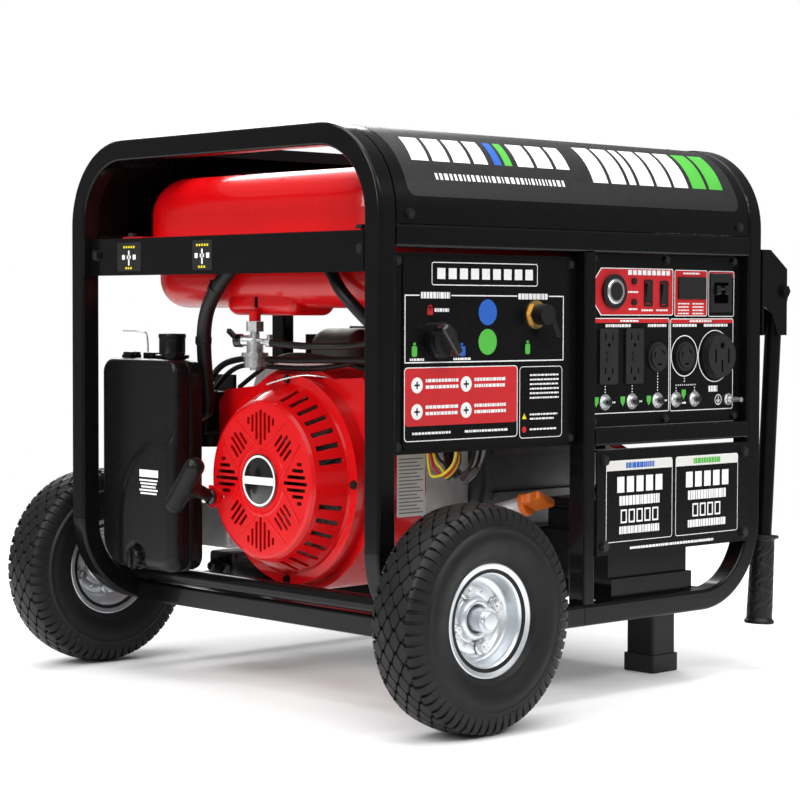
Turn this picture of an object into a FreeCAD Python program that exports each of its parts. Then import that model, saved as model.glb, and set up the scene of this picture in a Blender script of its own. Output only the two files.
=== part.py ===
import FreeCAD, Part
import math
import os

V = FreeCAD.Vector
AXIS_X = V(1, 0, 0)
AXIS_Y = V(0, 1, 0)
AXIS_Z = V(0, 0, 1)

# ---------------------------------------------------------------- driving dimensions (mm)
# X runs from the engine end (0) to the handle end, Y from the panel side (0) to the rear
# side, Z up from the ground.  Everything moves to the part's own origin at export.
FRAME_L = 652.0
FRAME_W = 571.0
FRAME_H = 660.0
TUBE = 25.4            # square frame tube
TUBE_WALL = 1.6
TUBE_ROUND = 4.0
RAIL_BOTTOM = 86.0     # underside of the bottom rails
TOP_BEND = 90.0        # centreline radius of the top corners
FOOT_BEND = 95.0       # centreline radius where a post turns into its bottom rail
MID_X = 326.0          # where the two end frames meet under the machine
HALF = TUBE / 2
RAIL_Z = RAIL_BOTTOM + HALF
RAIL_TOP = RAIL_BOTTOM + TUBE
ROOF_Z = FRAME_H - HALF
REAR_Y = FRAME_W - HALF
PLATE = 2.0            # sheet metal

AXLE_X = 82.7
TYRE_R = 124.4
TYRE_Y = 59.0          # how far the tyre's centre plane stands outside the frame
AXLE_R = 7.9
RIM_LIP_R = 62.0
RIM_SEAT_R = 50.8
HUB_R = 13.4

TOP_RAIL_LOW = 522.5   # underside of the side rails under the hoods
POST_X = 324.0         # mid post, left face
POST_W = 19.0
MID_RAIL_Z = 296.0
MID_RAIL_H = 21.0
HOOD_R = 100.0         # outer radius of the hood's roll
HOOD_FLAT_Y = 125.0    # where the hood's top ends

PANEL_Y = 14.0         # front face of the two panels
CRANK_Y = 285.0
CRANK_Z = 253.0
CRANK_R = 18.0
RUN_FIT = 0.05         # radial clearance of the running fits
CYL_TILT = 25.0        # the cylinder leans this far above level, towards the rear

TANK_X = (65.0, 560.0)
TANK_Y = (72.0, 522.0)
TANK_SEAM = 545.0
TANK_TOP = 618.0
TANK_FLOOR = 457.0
TANK_CAP = (300.0, 285.0)
TANK_CORNER = 50.0     # plan radius of the tank's corners
VALVE = (78.0, 304.0)  # fuel valve, in plan
VALVE_Z = 418.0        # height of its lever and spigot

LEG_X = 554.0
LEG_Y = 95.0
LEG_SIZE = 44.0
FOOT_H = 22.0

HANDLE_PIN = V(695.0, HALF, 480.0)
HANDLE_LEAN = 3.6      # degrees that a stowed handle leans in at its lower end
HANDLE_TUBE_R = 10.5
GRIP_TOP = 311.0       # along the handle, down from the pin
GRIP_END = 424.0
BRACKET_END = 706.0

BEAM_Z = (496.0, 541.0)

# fuel valve: directions of its lever's seat and of its outlet spigot
VALVE_AXIS = V(-0.4, 1, 0).normalize()
SPIGOT_AXIS = V(0.25, -1, -0.1).normalize()
SPIGOT_L = 24.0

# control panel: places as (x, z) on its front face
BUTTON = (387.0, 477.5)
ROCKERS = ((450.0, 476.0), (479.0, 475.0))
DISPLAY = (505.0, 557.0, 469.0, 496.0)
LAMPS = ((423.5, 490.0), (423.5, 465.0))
BREAKER = (585.5, 477.0)
DUPLEX_X = (378.5, 424.5)
DUPLEX_Z = 400.5
LOCKING_X = (467.0, 518.0)
RANGE_OUT = (580.0, 399.0)
RESET_X = (374.0, 422.0, 468.5, 503.0, 538.0)
RESET_Z = 346.5
GROUND = (603.0, 344.5)
CONTROL_X = (343.5, 626.0)
CONTROL_Z = (317.5, 522.0)

# engine
DIP_SEAT = V(294.4, 197.6, 189.8)      # oil filler: foot of its tube on the crankcase
DIP_TOP = V(328.0, 104.0, 221.0)       # and its mouth
COVER_LUGS = (0, 90, 180, 270)         # starter cover's bolt lugs, in degrees
GUIDE = V(65.2, 371.0, 229.0)          # starter rope's guide
PULL_AXIS = V(-0.93, -0.15, 0.33).normalize()
BOX_X = (28.0, 53.0, 76.0, 100.0)      # air box: front, seam, shoulder and back
BOX_Y = (400.0, 552.0)
BOX_Z = (135.0, 394.0)
BOX_CORNERS = (18.0, 40.0)             # its outline's corner radii; the larger is low at the rear
NECK = (70.5, 456.0)
INTAKE = V(90.0, 482.0, 325.0)         # carburettor's intake, on the air box's back
ORIGIN = V((AXLE_X - TYRE_R + BRACKET_END) / 2, FRAME_W / 2, 0)


# ---------------------------------------------------------------- helpers
def box(x0, x1, y0, y1, z0, z1):
    """A plain block between two corners."""
    return Part.makeBox(x1 - x0, y1 - y0, z1 - z0, V(x0, y0, z0))


def rounded_box(x0, x1, y0, y1, z0, z1, radius, along=None):
    """A block with every edge rounded, or only the edges that run along one axis."""
    block = box(x0, x1, y0, y1, z0, z1)
    edges = block.Edges
    if along is not None:
        edges = [e for e in edges if abs(e.tangentAt(e.FirstParameter).dot(along)) > 0.9]
    return block.makeFillet(radius, edges)


def rod(start, direction, radius, length):
    """A solid cylinder from a point along a direction."""
    return Part.makeCylinder(radius, length, start, direction)


def tube_between(start, end, outer, inner):
    """A round tube between two points."""
    run = end - start
    return rod(start, run, outer, run.Length).cut(rod(start, run, inner, run.Length))


def ring(start, direction, outer, inner, length):
    """A ring or bush along a direction."""
    return rod(start, direction, outer, length).cut(rod(start, direction, inner, length))


def hex_head(place, direction, across, height):
    """A hexagon head with a washer under it, seated on a surface."""
    corner = across / math.sqrt(3)
    points = [V(corner * math.cos(math.radians(60 * k)),
                corner * math.sin(math.radians(60 * k)), 0) for k in range(7)]
    head = Part.Face(Part.makePolygon(points)).extrude(V(0, 0, height))
    washer = Part.makeCylinder(across * 0.68, height * 0.3)
    bolt = head.fuse(washer)
    bolt.Placement = FreeCAD.Placement(place, FreeCAD.Rotation(AXIS_Z, direction))
    return bolt


def spun(profile, centre, axis, along):
    """Revolve a profile of (distance along the axis, radius) about an axis."""
    points = [centre + along * r + axis * t for t, r in profile]
    face = Part.Face(Part.makePolygon(points + points[:1]))
    return face.revolve(centre, axis, 360)


def square_face(centre, direction, size, wall, corner):
    """A hollow rounded square section, square to a run along X, Y or Z."""
    def outline(side, radius):
        block = Part.makeBox(side, side, 10, V(-side / 2, -side / 2, 0))
        upright = [e for e in block.Edges
                   if abs(e.tangentAt(e.FirstParameter).z) > 0.9]
        rounded = block.makeFillet(radius, upright)
        return min(rounded.Faces, key=lambda f: f.CenterOfMass.z)
    section = outline(size, corner).cut(outline(size - 2 * wall, max(corner - wall, 0.8)))
    section = section.Faces[0]
    section.Placement = FreeCAD.Placement(centre, FreeCAD.Rotation(AXIS_Z, direction))
    return section


def round_face(centre, direction, radius):
    """A full round section."""
    return Part.Face(Part.Wire(Part.makeCircle(radius, centre, direction)))


def unit(vector):
    """The same direction at length 1."""
    copy = V(vector)
    copy.normalize()
    return copy


def swept(points, face, radii):
    """Carry a section along straight runs joined by tangent arcs."""
    pieces = []
    start = points[0]
    for index, corner in enumerate(points[1:-1]):
        arrive = unit(corner - points[index])
        leave = unit(points[index + 2] - corner)
        turn = arrive.getAngle(leave)
        setback = radii[index] * math.tan(turn / 2)
        bend_start = corner - arrive * setback
        run = bend_start - start
        pieces.append(face.extrude(run))
        face = face.translated(run)
        axis = unit(arrive.cross(leave))
        centre = bend_start + axis.cross(arrive) * radii[index]
        pieces.append(face.revolve(centre, axis, math.degrees(turn)))
        face = face.copy()
        face.rotate(centre, axis, math.degrees(turn))
        start = corner + leave * setback
    pieces.append(face.extrude(points[-1] - start))
    return pieces[0].multiFuse(pieces[1:]).removeSplitter()


def hose(points, radius):
    """A solid hose through hand-set points, with arcs as large as its runs allow."""
    runs = [(b - a).Length for a, b in zip(points, points[1:])]
    radii = []
    for index in range(1, len(points) - 1):
        turn = (points[index] - points[index - 1]).getAngle(points[index + 1] - points[index])
        radii.append(0.45 * min(runs[index - 1:index + 1]) / math.tan(turn / 2))
    face = round_face(points[0], points[1] - points[0], radius)
    body = swept(points, face, radii)
    arcs = sum(r * a for r, a in zip(radii, bend_angles(points)))
    straight = sum(runs) - sum(2 * r * math.tan(a / 2) for r, a in zip(radii, bend_angles(points)))
    expected = math.pi * radius ** 2 * (arcs + straight)
    print("hose radii", [round(r) for r in radii], "volume ratio", round(body.Volume / expected, 3))
    return body


def bend_angles(points):
    """The turn at each inner point, in radians."""
    return [(b - a).getAngle(c - b) for a, b, c in zip(points, points[1:], points[2:])]


def mirrored(shape):
    """The same shape on the other side of the machine's middle plane."""
    return shape.mirror(V(0, FRAME_W / 2, 0), AXIS_Y)


def group(*solids):
    """Several separate solids kept in one node."""
    return Part.makeCompound(list(solids))


def square_tube(start, end, size=TUBE):
    """A straight square tube along one axis."""
    section = square_face(start, end - start, size, TUBE_WALL, TUBE_ROUND)
    return section.extrude(end - start)


def oblong_tube(x0, x1, z0, z1, along, start, length):
    """A straight rectangular tube, TUBE deep in Y, running along X or Z."""
    if along == "z":
        outer = rounded_box(x0, x1, 0, TUBE, start, start + length, 3, AXIS_Z)
        inner = box(x0 + TUBE_WALL, x1 - TUBE_WALL, TUBE_WALL, TUBE - TUBE_WALL,
                    start, start + length)
    else:
        outer = rounded_box(start, start + length, 0, TUBE, z0, z1, 3, AXIS_X)
        inner = box(start, start + length, TUBE_WALL, TUBE - TUBE_WALL,
                    z0 + TUBE_WALL, z1 - TUBE_WALL)
    return outer.cut(inner)


# ---------------------------------------------------------------- frame
def end_frame(post_x, inner_x):
    """One bent tube: rail, foot bend, post, roof bar, post, foot bend, rail."""
    points = [V(inner_x, HALF, RAIL_Z), V(post_x, HALF, RAIL_Z), V(post_x, HALF, ROOF_Z),
              V(post_x, REAR_Y, ROOF_Z), V(post_x, REAR_Y, RAIL_Z), V(inner_x, REAR_Y, RAIL_Z)]
    face = square_face(points[0], points[1] - points[0], TUBE, TUBE_WALL, TUBE_ROUND)
    return swept(points, face, [FOOT_BEND, TOP_BEND, TOP_BEND, FOOT_BEND])


def end_frame_engine():
    return end_frame(HALF, MID_X - 0.5)


def end_frame_panel():
    return end_frame(FRAME_L - HALF, MID_X + 0.5)


def top_rails():
    z = TOP_RAIL_LOW + HALF
    front = square_tube(V(TUBE, HALF, z), V(FRAME_L - TUBE, HALF, z))
    return group(front, mirrored(front))


def mid_tubes():
    """Both mid posts, and the rail that splits the panel side's right half."""
    post = oblong_tube(POST_X, POST_X + POST_W, 0, 0, "z", RAIL_TOP, TOP_RAIL_LOW - RAIL_TOP)
    rail_x = POST_X + POST_W
    rail = oblong_tube(0, 0, MID_RAIL_Z, MID_RAIL_Z + MID_RAIL_H, "x", rail_x,
                       FRAME_L - TUBE - rail_x)
    return group(post, mirrored(post), rail)


def cross_members():
    """Three cross tubes under the machine, with the plates that carry the axle."""
    tubes = []
    for x in (AXLE_X + 13.0, 300.0, LEG_X):
        tubes.append(square_tube(V(x, TUBE, RAIL_Z), V(x, FRAME_W - TUBE, RAIL_Z)))
    plate = rounded_box(58, 108, TUBE, TUBE + 4, RAIL_TOP + 0.5, 142, 8, AXIS_Y)
    plate = plate.cut(rod(V(AXLE_X, 0, TYRE_R), AXIS_Y, AXLE_R + RUN_FIT, 60))
    return group(*tubes, plate, mirrored(plate))


def tank_beams():
    """An angle across each end, bolted between the posts, that carries the tank flange."""
    low, high = BEAM_Z
    wall = box(12, 15, TUBE, FRAME_W - TUBE, low, high)
    shelf = box(12, 52, TUBE + 4, FRAME_W - TUBE - 4, high - 3, high)
    tab = box(0.5, 15, TUBE, TUBE + 3, low, high)
    beam = wall.fuse([shelf, tab, mirrored(tab)]).removeSplitter()
    far_wall = box(FRAME_L - 15, FRAME_L - 12, TUBE, FRAME_W - TUBE, low, high)
    far_shelf = box(575, FRAME_L - 12, TUBE + 4, FRAME_W - TUBE - 4, high - 3, high)
    far_shelf = far_shelf.cut(box(575, 622, 0, 130, 0, 700))
    far_shelf = far_shelf.cut(box(575, 622, FRAME_W - 130, FRAME_W, 0, 700))
    far_beam = far_wall.fuse(far_shelf).removeSplitter()
    return group(beam, far_beam)


def hood():
    """A rolled cover along one top edge, with a folded lip and an arched web at each end."""
    gap = 1.0
    x0, x1 = TUBE + gap, FRAME_L - TUBE - gap
    low = TOP_RAIL_LOW + TUBE
    centre_y, centre_z = 1.5 + HOOD_R, FRAME_H - 1.5 - HOOD_R

    def profile(radius, x):
        side = centre_y - radius
        roof = centre_z + radius
        corner = radius * math.sqrt(0.5)
        return (V(x, side, low), V(x, side, centre_z),
                V(x, centre_y - corner, centre_z + corner),
                V(x, centre_y, roof), V(x, HOOD_FLAT_Y, roof))

    def wire(x, inner):
        a = profile(HOOD_R, x)
        b = profile(HOOD_R - inner, x)
        return Part.Wire([
            Part.makeLine(a[0], a[1]), Part.Arc(a[1], a[2], a[3]).toShape(),
            Part.makeLine(a[3], a[4]), Part.makeLine(a[4], b[4]),
            Part.makeLine(b[4], b[3]), Part.Arc(b[3], b[2], b[1]).toShape(),
            Part.makeLine(b[1], b[0]), Part.makeLine(b[0], a[0])])

    sheet = Part.Face(wire(x0, PLATE)).extrude(V(x1 - x0, 0, 0))
    web = Part.Face(wire(x0, 18)).extrude(V(PLATE, 0, 0))
    far_web = web.translated(V(x1 - x0 - PLATE, 0, 0))
    roof = FRAME_H - 1.5
    lip = box(x0, x1, HOOD_FLAT_Y - PLATE, HOOD_FLAT_Y, roof - 14, roof)
    return sheet.fuse([web, far_web, lip]).removeSplitter()


def legs():
    tube = square_tube(V(LEG_X, LEG_Y, 4), V(LEG_X, LEG_Y, RAIL_BOTTOM), LEG_SIZE)
    return group(tube, mirrored(tube))


def leg_feet():
    half = LEG_SIZE / 2 + 2.5
    shoe = rounded_box(LEG_X - half, LEG_X + half, LEG_Y - half, LEG_Y + half, 0, FOOT_H,
                       3, AXIS_Z)
    pocket = LEG_SIZE / 2 + 0.1
    shoe = shoe.cut(box(LEG_X - pocket, LEG_X + pocket, LEG_Y - pocket, LEG_Y + pocket, 4, FOOT_H))
    return group(shoe, mirrored(shoe))


# ---------------------------------------------------------------- wheels
def axle():
    """The through axle, with a thrust washer and a split pin at each end."""
    reach = 100.0 - 12
    bar = rod(V(AXLE_X, -reach, TYRE_R), AXIS_Y, AXLE_R, FRAME_W + 2 * reach)
    pin_y = -reach + 3.4
    hole = rod(V(AXLE_X - 20, pin_y, TYRE_R), AXIS_X, 2.1, 40)
    bar = bar.cut(hole).cut(hole.translated(V(0, FRAME_W - 2 * pin_y, 0)))
    pin = rod(V(AXLE_X - 14, pin_y, TYRE_R), AXIS_X, 2.0, 28)
    washer = ring(V(AXLE_X, -TYRE_Y - 23.5, TYRE_R), AXIS_Y, 14, AXLE_R + 0.05, 2.5)
    return group(bar, pin, washer, mirrored(pin), mirrored(washer))


def tyre():
    """Carcass in section: beads, bulging sidewalls and a nearly flat crown."""
    bead, side, shoulder, crown = 25.2, 38.0, 32.0, 25.0

    def half(sign, inset):
        y = -TYRE_Y
        return [V(AXLE_X, y + sign * (bead - inset * 0.7), TYRE_R + RIM_LIP_R + 1),
                V(AXLE_X, y + sign * (side - inset), TYRE_R + 86),
                V(AXLE_X, y + sign * (shoulder - inset), TYRE_R + 113 - inset * 0.5),
                V(AXLE_X, y + sign * (crown - inset * 0.6), TYRE_R + 121.5 - inset)]

    def arc(a, b, c):
        return Part.Arc(a, b, c).toShape()

    def sidewall(points, start):
        low = V(start.x, (start.y + points[1].y) / 2 + (points[1].y - start.y) * 0.28,
                (start.z * 0.45 + points[1].z * 0.55))
        mid = (points[1] + points[2]) * 0.5 + V(0, (points[1].y + TYRE_Y) * 0.03, 0)
        return [arc(start, low, points[1]), arc(points[1], mid, points[2]),
                Part.makeLine(points[2], points[3])]

    wall = 7.0
    left, right = half(-1, 0), half(1, 0)
    left_in, right_in = half(-1, wall), half(1, wall)
    seat_z = TYRE_R + RIM_SEAT_R + 0.2
    foot_l, foot_r = V(AXLE_X, left[0].y, seat_z), V(AXLE_X, right[0].y, seat_z)
    heel_l, heel_r = V(AXLE_X, left_in[0].y, seat_z), V(AXLE_X, right_in[0].y, seat_z)
    top = V(AXLE_X, -TYRE_Y, 2 * TYRE_R)
    top_in = V(AXLE_X, -TYRE_Y, 2 * TYRE_R - wall)
    edges = sidewall(left, left[0])
    edges.append(arc(left[3], top, right[3]))
    edges += sidewall(right, right[0])[::-1]
    edges += [Part.makeLine(right[0], foot_r), Part.makeLine(foot_r, heel_r),
              Part.makeLine(heel_r, right_in[0])]
    edges += sidewall(right_in, right_in[0])
    edges.append(arc(right_in[3], top_in, left_in[3]))
    edges += sidewall(left_in, left_in[0])[::-1]
    edges += [Part.makeLine(left_in[0], heel_l), Part.makeLine(heel_l, foot_l),
              Part.makeLine(foot_l, left[0])]
    section = Part.Face(Part.Wire(Part.__sortEdges__(edges)))
    return section.revolve(V(AXLE_X, 0, TYRE_R), AXIS_Y, 360)


def rim():
    """Two pressed rim halves, the hub between them and four clamping bolts."""
    centre = V(AXLE_X, -TYRE_Y, TYRE_R)
    depth, sheet, bore = 28.0, 2.5, HUB_R + 0.1
    profile = [(-depth, RIM_LIP_R), (-depth + sheet, RIM_LIP_R), (-depth + sheet, RIM_SEAT_R),
               (0, RIM_SEAT_R), (0, bore), (-sheet, bore), (-sheet, RIM_SEAT_R - sheet),
               (-depth, RIM_SEAT_R - sheet)]
    outer = spun(profile, centre, AXIS_Y, AXIS_Z)
    inner = outer.mirror(centre, AXIS_Y)
    hub = ring(centre - AXIS_Y * 21, AXIS_Y, HUB_R, AXLE_R + RUN_FIT, 44)
    bolts = []
    for k in range(4):
        angle = math.radians(20 + 90 * k)
        place = centre + V(33 * math.cos(angle), 0, 33 * math.sin(angle))
        hole = rod(place - AXIS_Y * 10, AXIS_Y, 4.1, 20)
        outer = outer.cut(hole)
        inner = inner.cut(hole)
        shank = rod(place - AXIS_Y * (sheet + 1), AXIS_Y, 4.0, 2 * sheet + 8)
        head = hex_head(place - AXIS_Y * sheet, -AXIS_Y, 13, 5.5)
        nut = hex_head(place + AXIS_Y * sheet, AXIS_Y, 13, 5.5)
        bolts.append(shank.fuse([head, nut]))
    return group(outer, inner, hub, *bolts)


# ---------------------------------------------------------------- handles
def handle_point(distance):
    """A point on a stowed handle's centreline, at a distance below its pin."""
    lean = math.radians(HANDLE_LEAN)
    return HANDLE_PIN - V(math.sin(lean), 0, math.cos(lean)) * distance


def handle_bracket():
    """A channel on the post: back plate, two cheeks, and the pin that the handle turns on."""
    back = box(FRAME_L, FRAME_L + 3, -1.3, TUBE + 1.3, 424, 532)
    outline = [V(FRAME_L, -1.3, 532), V(FRAME_L + 16, -1.3, 532), V(BRACKET_END - 4, -1.3, 508),
               V(BRACKET_END - 4, -1.3, 486), V(BRACKET_END, -1.3, 478),
               V(BRACKET_END - 4, -1.3, 466), V(BRACKET_END - 4, -1.3, 424),
               V(BRACKET_END - 22, -1.3, 424), V(BRACKET_END - 34, -1.3, 452),
               V(FRAME_L, -1.3, 462)]
    cheek = Part.Face(Part.makePolygon(outline + outline[:1])).extrude(V(0, 2, 0))
    hole = rod(HANDLE_PIN - AXIS_Y * 30, AXIS_Y, 4.05, 60)
    cheek = cheek.cut(hole)
    far_cheek = cheek.translated(V(0, TUBE + 0.6, 0))
    channel = back.fuse([cheek, far_cheek]).removeSplitter()
    pin = rod(HANDLE_PIN - AXIS_Y * 16, AXIS_Y, 4.0, 32)
    head = hex_head(HANDLE_PIN - AXIS_Y * 14.2, -AXIS_Y, 13, 5)
    nut = hex_head(HANDLE_PIN + AXIS_Y * 14.2, AXIS_Y, 13, 5)
    bolt = pin.fuse([head, nut])
    plate_bolt = hex_head(V(FRAME_L + 3, HALF, 440), AXIS_X, 10, 4)
    return channel, bolt, plate_bolt


def handle_brackets():
    parts = list(handle_bracket())
    return group(*parts, *[mirrored(p) for p in parts])


def handle_tube():
    """The handle's tube, flattened by its pin bore and plugged by the grip at its end."""
    top = handle_point(-14)
    end = handle_point(GRIP_END - 3)
    tube = tube_between(top, end, HANDLE_TUBE_R, HANDLE_TUBE_R - 2)
    boss = rod(HANDLE_PIN - AXIS_Y * HANDLE_TUBE_R, AXIS_Y, 7, 2 * HANDLE_TUBE_R)
    boss = boss.common(rod(top, end - top, HANDLE_TUBE_R, 60))
    return tube.fuse(boss).cut(rod(HANDLE_PIN - AXIS_Y * 20, AXIS_Y, 4.05, 40)).removeSplitter()


def handle_grip():
    """A rubber sleeve, thicker towards its closed end, with a flange at each end."""
    top = handle_point(GRIP_TOP)
    along = unit(handle_point(GRIP_END) - top)
    length = GRIP_END - GRIP_TOP
    profile = [(0, 11), (0, 20), (4, 20), (6, 14.5), (length - 6, 16.5), (length - 4, 19),
               (length, 19), (length, 0), (length - 2.6, 0), (length - 2.6, HANDLE_TUBE_R + 0.1),
               (0, HANDLE_TUBE_R + 0.1)]
    return spun(profile, top, along, AXIS_Y)


# ---------------------------------------------------------------- fuel system
def fuel_tank():
    """Two deep-drawn shells joined at a flange, hollow, with a neck and an outlet boss."""
    def shell(inset):
        x0, x1 = TANK_X[0] + inset, TANK_X[1] - inset
        y0, y1 = TANK_Y[0] + inset, TANK_Y[1] - inset
        upper = box(x0, x1, y0, y1, TANK_SEAM - (1.5 if inset else 4), TANK_TOP - inset)
        upright = [e for e in upper.Edges if abs(e.tangentAt(e.FirstParameter).z) > 0.9]
        upper = upper.makeFillet(TANK_CORNER - inset, upright)
        roof = [e for e in upper.Edges if e.BoundBox.ZMin > TANK_TOP - inset - 1]
        upper = upper.makeFillet(48 - inset, roof)
        lower = box(x0 + 6, x1 - 6, y0 + 10, y1 - 10, TANK_FLOOR + inset, TANK_SEAM)
        upright = [e for e in lower.Edges if abs(e.tangentAt(e.FirstParameter).z) > 0.9]
        lower = lower.makeFillet(TANK_CORNER - 3 - inset, upright)
        floor = [e for e in lower.Edges if e.BoundBox.ZMax < TANK_FLOOR + inset + 1]
        lower = lower.makeFillet(36 - inset, floor)
        sump = rounded_box(x0 + 14, 150 - inset, 235 + inset, 365 - inset, 448 + inset, 520,
                           14 - inset)
        return upper.fuse([lower, sump])

    flange = rounded_box(TANK_X[0] - 20, TANK_X[1] + 20, TANK_Y[0] - 20, TANK_Y[1] + 20,
                         TANK_SEAM - 4, TANK_SEAM - 1.5, 40, AXIS_Z)
    ears = box(29, 90, 62, FRAME_W - 62 - 8, TANK_SEAM - 4, TANK_SEAM - 1.5)
    ears = ears.cut(box(29, 45.2, 98, 462, 500, 600))
    far_ears = box(540, 596, TANK_Y[0] + 60, TANK_Y[1] - 60, TANK_SEAM - 4, TANK_SEAM - 1.5)
    neck = rod(V(*TANK_CAP, TANK_TOP - 10), AXIS_Z, 27, 18)
    skin = shell(0).fuse([flange, ears, far_ears, neck])
    outlet = rod(V(*VALVE, 441), AXIS_Z, 7, 12)
    skin = skin.fuse(outlet)
    hole = rod(V(*TANK_CAP, TANK_TOP - 20), AXIS_Z, 24, 40)
    drain = rod(V(*VALVE, 430), AXIS_Z, 4, 40)
    return skin.cut(shell(1.6)).cut(hole).cut(drain).removeSplitter()


def fuel_cap():
    """A ribbed cap with a plug that sits in the tank's neck."""
    base = V(*TANK_CAP, TANK_TOP + 8.3)
    cap = rod(base, AXIS_Z, 34, 17)
    cap = cap.makeFillet(4, [e for e in cap.Edges if e.BoundBox.ZMin > base.z + 16])
    placed = []
    for k in range(18):
        rib = box(-3, 3, 32, 36.5, 2, 15)
        rib.rotate(V(0, 0, 0), AXIS_Z, 20 * k)
        rib.translate(base)
        placed.append(rib)
    plug = rod(base - AXIS_Z * 14, AXIS_Z, 23.4, 15)
    return cap.fuse(placed + [plug]).removeSplitter()


def fuel_valve():
    """Union nut, valve body, sediment bowl and outlet spigot, hung under the tank."""
    x, y = VALVE
    top = V(x, y, VALVE_Z + 22.8)
    nut = Part.makeCylinder(11, 12, top - AXIS_Z * 12)
    flats = [box(x - 30, x + 30, y + 9.6, y + 30, VALVE_Z + 7, VALVE_Z + 27) for _ in range(6)]
    for k, flat in enumerate(flats):
        flat.rotate(top, AXIS_Z, 60 * k)
    nut = nut.cut(flats[0].multiFuse(flats[1:]))
    stem = rod(top - AXIS_Z * 26, AXIS_Z, 5.5, 14)
    body = rod(top - AXIS_Z * 38, AXIS_Z, 10, 14)
    flange = rod(top - AXIS_Z * 42, AXIS_Z, 16, 5)
    bowl = rod(top - AXIS_Z * 54, AXIS_Z, 13, 13)
    tip = rod(top - AXIS_Z * 58, AXIS_Z, 6, 5)
    spigot = rod(V(x, y, VALVE_Z), SPIGOT_AXIS, 3.5, SPIGOT_L)
    seat = rod(V(x, y, VALVE_Z), VALVE_AXIS, 6.5, 17)
    return nut.fuse([stem, body, flange, bowl, tip, spigot, seat]).removeSplitter()


def fuel_valve_lever():
    """The lever that turns on the valve's side seat."""
    start = V(*VALVE, VALVE_Z) + VALVE_AXIS * 17.3
    knob = rod(start, VALVE_AXIS, 8, 9)
    arm = box(-2.5, 2.5, -2, 3, 0, 26)
    arm.Placement = FreeCAD.Placement(start + VALVE_AXIS * 5,
                                      FreeCAD.Rotation(AXIS_Y, VALVE_AXIS))
    arm.rotate(start, VALVE_AXIS, -62)
    return knob.fuse(arm).removeSplitter()


def fuel_panel():
    """The sheet panel between near post and mid post, with a shallow box behind it."""
    x0, x1, z0, z1 = TUBE + 0.5, POST_X - 0.5, 298.0, 517.0
    plate = box(x0, x1, PANEL_Y, PANEL_Y + PLATE, z0, z1)
    raised = rounded_box(46, 305, PANEL_Y - 1.6, PANEL_Y + 0.5, 303, 513, 6, AXIS_Y)
    shroud = box(50, 300, PANEL_Y + PLATE, 56, 306, 510)
    shroud = shroud.cut(box(52, 298, PANEL_Y + PLATE, 54, 308, 508))
    fold = box(x0, x1, PANEL_Y, PANEL_Y + 12, z0, z0 + PLATE)
    top_fold = box(x0, x1, PANEL_Y, PANEL_Y + 12, z1 - PLATE, z1)
    sheet = plate.fuse([raised, shroud, fold, top_fold])
    sheet = sheet.cut(rod(V(98, 0, 422), AXIS_Y, 8.3, 30))
    sheet = sheet.cut(rod(V(253, 0, 450), AXIS_Y, 10.3, 30))
    return sheet.removeSplitter()


def fuel_selector_knob():
    """A round knob with a raised grip bar and a stem through the panel."""
    face = PANEL_Y - 1.6
    skirt = rod(V(98, face - 0.4, 422), -AXIS_Y, 20, 9)
    body = rod(V(98, face - 9.4, 422), -AXIS_Y, 17, 5)
    bar = rounded_box(98 - 5.5, 98 + 5.5, face - 26, face - 10, 402.5, 441.5, 3)
    bar.rotate(V(98, 0, 422), AXIS_Y, -38)
    stem = rod(V(98, face - 1, 422), AXIS_Y, 8, 22)
    return skirt.fuse([body, bar, stem]).removeSplitter()


def propane_inlet():
    """The brass inlet that the gas hose screws onto, held by a lock nut."""
    face = PANEL_Y - 1.6
    spigot = rod(V(253, face - 16, 450), AXIS_Y, 8, 46)
    nut = hex_head(V(253, face, 450), -AXIS_Y, 24, 5)
    barb = ring(V(253, face + 20, 450), AXIS_Y, 10, 7.5, 4)
    return spigot.fuse([nut, barb]).cut(rod(V(253, face - 20, 450), AXIS_Y, 5, 60)).removeSplitter()


def propane_cap():
    """A push-on rubber cap with a tether loop."""
    face = PANEL_Y - 1.6
    start = V(253, face - 5.5, 450)
    cup = rod(start, -AXIS_Y, 12, 15).cut(rod(start, -AXIS_Y, 8.3, 11.5))
    tab = rounded_box(256, 263, face - 19, face - 16, 418, 448, 1.2)
    tab.rotate(V(253, 0, 450), AXIS_Y, -28)
    return cup.fuse(tab).removeSplitter()


# ---------------------------------------------------------------- control panel

def panel_rod(x, z, radius, front, depth):
    """A cylinder square to the panel, from a height in front of it, running inwards."""
    return rod(V(x, PANEL_Y - front, z), AXIS_Y, radius, depth)


def panel_block(x, z, width, height, front, depth, radius):
    """A block centred on a panel position, with rounded upright corners."""
    return rounded_box(x - width / 2, x + width / 2, PANEL_Y - front, PANEL_Y - front + depth,
                       z - height / 2, z + height / 2, radius, AXIS_Y)


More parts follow.
